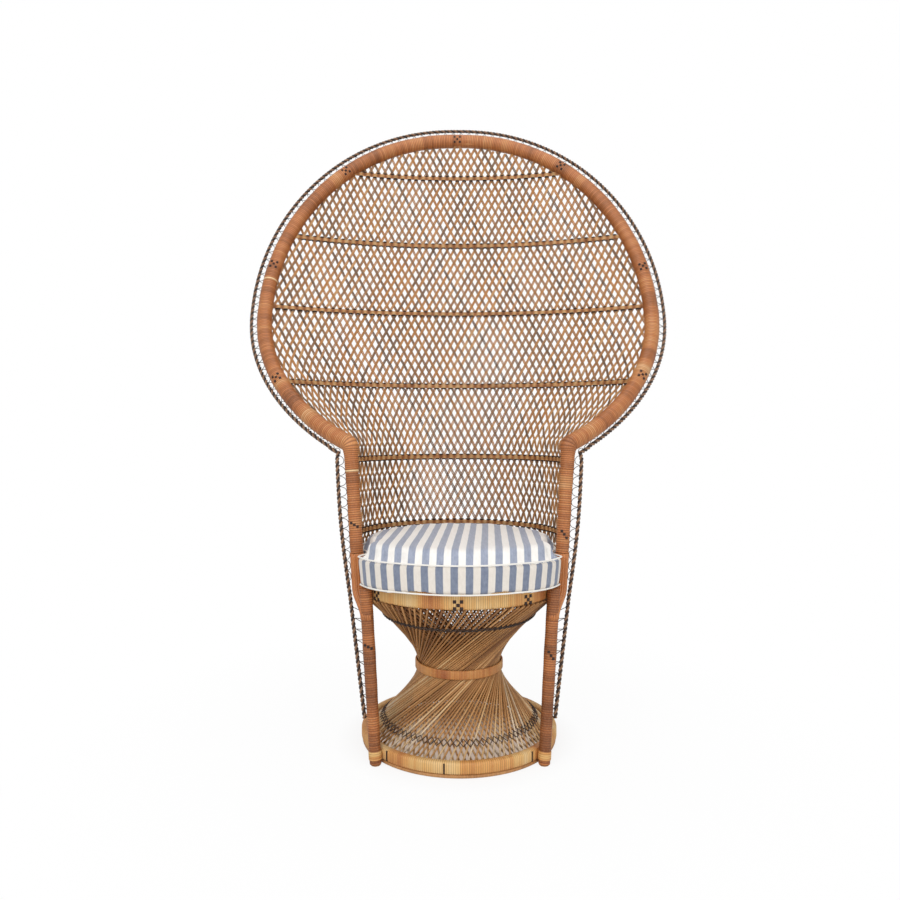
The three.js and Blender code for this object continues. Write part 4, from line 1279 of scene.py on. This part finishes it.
def twisted(line, offset, start, pitch):
    """A strand that winds round a line."""
    points, places = evenly_along(line, pitch / TWIST_STATIONS)
    tangents = unit(np.gradient(points, axis=0))
    first = unit(np.cross(tangents, [0.0, 1.0, 0.0]))
    second = np.cross(tangents, first)
    angle = start + places * math.tau / pitch
    return points + offset * (np.cos(angle)[:, None] * first + np.sin(angle)[:, None] * second)


LOOP_SHAPE = [  # place along a loop, and how near the frame it lies
    (0.0, 0.05), (0.03, 0.34), (0.09, 0.62), (0.18, 0.84), (0.32, 0.98),
    (0.5, 1.04), (0.68, 0.98), (0.82, 0.84), (0.91, 0.62), (0.97, 0.34),
]


def loops(stations):
    """A wire that hugs the frame and goes out to the braid between loops."""
    braid = np.array([b for _, b, _ in stations])
    edge = np.array([c + (b - c).normalized() * (r + LOOP_WIRE) for c, b, r in stations])
    lengths = lengths_along(braid)
    count = max(round(lengths[-1] / LOOP_PITCH), 1)
    shape = [(k + phase, share) for k in range(count) for phase, share in LOOP_SHAPE]
    places, shares = np.array(shape + [(count, LOOP_SHAPE[0][1])]).T
    places *= lengths[-1] / count
    shares = shares[:, None]
    line = line_at(braid, lengths, places) * (1 - shares) + line_at(edge, lengths, places) * shares
    return line, LOOP_WIRE, PLAIN


def add_edge_trim():
    """The two strands of the braid, and the loops that tie it to the hoop, the posts and the legs."""
    along_fan = [fan_station(s) for s in np.linspace(0, 1, EDGE_STATIONS)]
    stations = [leg_station(s) for s in np.linspace(0, 1, LEG_STATIONS)[:-1]]
    stations += [post_station(s) for s in np.linspace(0, 1, POST_STATIONS)] + along_fan
    braid = np.array([b for _, b, _ in with_other_side(stations)])
    for name, start, material in (("dark", 0, dark_twine), ("light", math.pi, light_twine)):
        run = (twisted(braid, STRAND_OFFSET, start, TWIST_PITCH), STRAND_RADIUS, PLAIN)
        tube_piece(f"edge_braid_{name}_strand", [run], 8, material, "two_tone_braid",
                   replaces=["edge_braid"])
    tied = [post_station(s) for s in np.linspace(POST_LOOP_SHARE, 1, TIED_STATIONS)] + along_fan
    tube_piece("edge_loops", [loops(with_other_side(tied))], 6, dark_twine, "dark_twine",
               replaces=["edge_scallops"])
    beside_leg = [leg_station(s) for s in np.linspace(0, LEG_LOOP_SHARE, LEG_STATIONS)]
    for name, side in SIDES:
        run = loops([(flipped(c, side), flipped(b, side), r) for c, b, r in beside_leg])
        tube_piece(f"{name}_leg_loops", [run], 6, dark_twine, "dark_twine",
                   replaces=[f"{name}_leg_scallops"])


# The cushion
PIPING_RADIUS = 0.0016
CUSHION_CENTRE = Vector((0, AXIS_Y - CUSHION_FORWARD, 0))
CUSHION_BOTTOM = SEAT_TOP + CLEAR
LOWER_SEAM = CUSHION_BOTTOM + CUSHION_BELLY + 0.0034
UPPER_SEAM = CUSHION_BOTTOM + CUSHION_SIDE
WALL_INSET = 0.0019  # of the boxing, behind the solid's outline
WALL_RADIUS = CUSHION_RADIUS - WALL_INSET
BOXING_SHARE = 0.97  # of the boxing's radius, outside which a point is on the boxing
SEAM_MARGIN = 0.001
VOXEL = 0.005
CROWN_RUN = 0.045  # from the seam in to where the crown is full
CROWN_STEEPNESS = 3.0
SIDE_SWELL = 0.0006
SIDE_FULLNESS = 0.0012
FACE_DRIFT = [0.1, 0.1, 1]  # how much of a face's movement across and up is kept
STILL = 1e-9
LAST_FRAME = 20
PUCKER_SHARE = 0.12
PRESSURE = 4
BLANK_STEPS = 96
EASE = 0.0008  # how uneven the boxing is
FACE_EASE = 0.0011
PIPING_STANDOFF = 0.0006
PIPING_WOBBLE = 0.0003
PIPING_STATIONS = 240
DENT_POWER = 3
HOOP_OVERHANG = (SEAT_RADIUS + 0.004, SEAT_RADIUS + 0.018)  # from where the lower edge sags to where it hangs
CORNER_FULLNESS = 0.008
CORNER_AZIMUTH = math.radians(44)
CORNER_WIDTH = math.radians(12)
FRONT_SAG = 0.0068  # how far the front's lower edge hangs below the top of the seat hoop
LOWER_SEAM_INSET = 0.004
OUTLINE_STEPS = 720
BOX_STRIPES = 50
BOX_STRIPE_SHIFT = 0.412


def front_swell(turn):
    """How far the front and its corners lie outside the round cushion, at a turn from the front."""
    corner = CORNER_FULLNESS * math.exp(-(((turn - CORNER_AZIMUTH) / CORNER_WIDTH) ** 2))
    swell = between(FRONT_SWELL, CORNER_SWELL, min((turn / SWELL_ENDS[0]) ** 2, 1)) + corner
    return swell * (1 - smooth_step(*SWELL_ENDS, turn))


def outlined(point):
    """A point of the round cushion, moved to the cushion's real outline. Its front edge sags."""
    turn = abs(math.atan2(point.x, -point.y))
    share = math.hypot(point.x, point.y) / CUSHION_RADIUS
    dent = POST_DENT * math.exp(-(((turn - POST_DENT_AZIMUTH) / POST_DENT_WIDTH) ** 2))
    swell = front_swell(turn)
    scale = 1 + (swell - dent * share ** DENT_POWER) / CUSHION_RADIUS
    past_hoop = smooth_step(*HOOP_OVERHANG, CUSHION_RADIUS * share * scale)
    low = smooth_step(UPPER_SEAM, LOWER_SEAM, point.z)
    sag = FRONT_SAG * past_hoop * low * min(swell / FRONT_SWELL, 1)
    return Vector((point.x * scale, point.y * scale, point.z - sag)) + CUSHION_CENTRE


def on_outline(azimuth, radius, height):
    return outlined(Vector((radius * math.sin(azimuth), -radius * math.cos(azimuth), height)))


outline_azimuths = np.linspace(0, math.pi, OUTLINE_STEPS)
outline_lengths = lengths_along(np.array([on_outline(a, WALL_RADIUS, 0) for a in outline_azimuths]))


def stripe_wave(azimuth):
    """1 in the middle of a blue stripe of the boxing, and -1 between two."""
    along = np.interp(abs(azimuth), outline_azimuths, outline_lengths) * math.copysign(1, azimuth)
    around = 2 * outline_lengths[-1]
    return math.cos(math.tau * (along / around * BOX_STRIPES + BOX_STRIPE_SHIFT))


def cushion_blank():
    """The cushion's cover before it is filled: a flat drum round the origin."""
    profile = [(0.0, LOWER_SEAM - PIPING_RADIUS), (WALL_RADIUS, LOWER_SEAM - PIPING_RADIUS / 2),
               (WALL_RADIUS, UPPER_SEAM + PIPING_RADIUS / 2), (0.0, UPPER_SEAM + PIPING_RADIUS / 2)]
    bm = bmesh.new()
    verts = [bm.verts.new((0, -r, z)) for r, z in profile]
    edges = [bm.edges.new(pair) for pair in zip(verts, verts[1:])]
    bmesh.ops.spin(bm, geom=verts + edges, cent=(0, 0, 0), axis=(0, 0, 1), dvec=(0, 0, 0),
                   angle=math.tau, steps=BLANK_STEPS, use_merge=True, use_duplicate=False)
    bmesh.ops.remove_doubles(bm, verts=bm.verts, dist=10 * MERGE)
    return closed_mesh("cushion_cover", bm)


def evaluated_copy(obj):
    shown = obj.evaluated_get(bpy.context.evaluated_depsgraph_get())
    return bpy.data.meshes.new_from_object(shown)


def places_of(mesh):
    flat = np.empty(len(mesh.vertices) * 3)
    mesh.vertices.foreach_get("co", flat)
    return flat.reshape(-1, 3)


def filled(obj):
    """Fills the cover by cloth pressure, and tells which of its points are on the boxing."""
    remesh = obj.modifiers.new("grid", "REMESH")
    remesh.mode = "VOXEL"
    remesh.voxel_size = VOXEL
    mesh = evaluated_copy(obj)
    obj.modifiers.clear()
    obj.data = mesh
    rest = places_of(mesh)
    flags = on_boxing(rest)
    cloth = obj.modifiers.new("fill", "CLOTH")
    cloth.settings.use_pressure = True
    cloth.settings.uniform_pressure_force = PRESSURE
    cloth.settings.effector_weights.gravity = 0
    for number in range(1, LAST_FRAME + 1):
        scene.frame_set(number)
    swollen = places_of(evaluated_copy(obj))
    obj.modifiers.clear()
    scene.frame_set(1)
    rest = settled(rest, swollen)
    mesh.vertices.foreach_set("co", rest.ravel())
    mesh.update()
    return flags


def settled(rest, swollen):
    """Each point goes the way the cloth moved it, and as far as set here.

    That is the full crown on the faces away from the seams, and a slight swell on the boxing.
    """
    on_side = on_boxing(rest)
    move = (swollen - rest) * np.where(on_side[:, None], 1, FACE_DRIFT)
    reach = np.hypot(rest[:, 0], rest[:, 1])
    to_seam = 1 - np.clip(WALL_RADIUS - reach, 0, CROWN_RUN) / CROWN_RUN
    travel = CUSHION_CROWN * (1 - to_seam ** CROWN_STEEPNESS)
    azimuths = np.arctan2(rest[:, 0], rest[:, 1])
    travel *= 1 + PUCKER_SHARE * to_seam * np.sin(azimuths * 23 + 2 * np.sin(reach * 90))
    travel = np.where(on_side, SIDE_SWELL, travel)
    length = np.linalg.norm(move, axis=1)
    return rest + move * (travel / np.maximum(length, STILL))[:, None]


def on_boxing(places):
    reach = np.hypot(places[:, 0], places[:, 1])
    heights = places[:, 2]
    between_seams = (heights > LOWER_SEAM) & (heights < UPPER_SEAM - SEAM_MARGIN)
    return (reach > WALL_RADIUS * BOXING_SHARE) & between_seams


def add_cushion():
    """The cover is filled, smoothed, moved to the outline and padded, and then gets its piping."""
    obj = bpy.data.objects.new("cushion_cover", cushion_blank())
    scene.collection.objects.link(obj)
    flags = filled(obj)
    bm = bmesh.new()
    bm.from_mesh(obj.data)
    bpy.data.objects.remove(obj)
    boxing = bm.verts.layers.float.new("boxing")
    box_wave = bm.verts.layers.float.new("box_wave")
    for vert, flag in zip(bm.verts, flags):
        vert[boxing] = float(flag)
    bmesh.ops.smooth_vert(
        bm, verts=bm.verts, factor=0.5, use_axis_x=True, use_axis_y=True, use_axis_z=True)
    for vert in bm.verts:
        vert[box_wave] = stripe_wave(math.atan2(vert.co.x, -vert.co.y))
        if vert.co.z > UPPER_SEAM + PIPING_RADIUS:
            vert.co.z += FACE_EASE * noise.noise(vert.co * 15)
        elif vert[boxing]:
            low = smooth_step(UPPER_SEAM, LOWER_SEAM, vert.co.z)
            inset = LOWER_SEAM_INSET * low - SIDE_FULLNESS + EASE * noise.noise(vert.co * 40)
            vert.co.xy -= vert.co.xy.normalized() * inset
        vert.co.z = max(vert.co.z, CUSHION_BOTTOM)
        vert.co = outlined(vert.co)
    cover = finished("cushion_cover", closed_mesh("cushion_cover", bm), striped, "cushion_cloth",
                     body="cushion", replaces=["cushion"])
    rounder = cover.modifiers.new("smooth", "SUBSURF")
    rounder.levels = 1
    rounder.render_levels = 1
    azimuths = np.linspace(0, math.tau, PIPING_STATIONS, endpoint=False)
    for name, height, inset in (("upper", UPPER_SEAM, 0), ("lower", LOWER_SEAM, LOWER_SEAM_INSET)):
        reach = WALL_RADIUS - inset + PIPING_STANDOFF
        line = [on_outline(a, reach + PIPING_WOBBLE * math.sin(a * 7), height) for a in azimuths]
        tube_piece(f"{name}_piping", [(np.array(line), PIPING_RADIUS, PLAIN)], 10, piping, "cushion_cloth",
                   cyclic=True, body="cushion")


def dress_cad_nodes():
    """The bare ends of the poles and the seat deck stay, with materials of their own."""
    poles = ["fan_hoop", "left_post", "right_post", "left_leg", "right_leg"]
    for name in poles + ["seat_deck"]:
        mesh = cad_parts[name].data
        mesh.materials.clear()
        mesh.materials.append(plaited if name == "seat_deck" else bare_pole)


def add_floor():
    bm = bmesh.new()
    bmesh.ops.create_grid(bm, x_segments=1, y_segments=1, size=FLOOR_HALF_WIDTH)
    mesh = bpy.data.meshes.new("floor")
    bm.to_mesh(mesh)
    bm.free()
    floor = bpy.data.objects.new("floor", mesh)
    mesh.materials.append(floor_paint())
    scene.collection.objects.link(floor)


add_camera()
add_floor()
light_world(AMBIENT)
for lamp in LAMPS:
    add_lamp(*lamp)
add_frame_windings()
add_frame_marks()
add_hoops()
add_hoop_marks()
add_foot_hoop()
add_rods()
add_twine_rings()
levels = [Level(RAIL_TOP + j * LEVEL_STEP) for j in range(int((WEAVE_TOP - RAIL_TOP) / LEVEL_STEP) + 1)]
add_weave(levels)
add_bands()
add_edge_trim()
add_cushion()
dress_cad_nodes()
scene.view_settings.view_transform = "Standard"
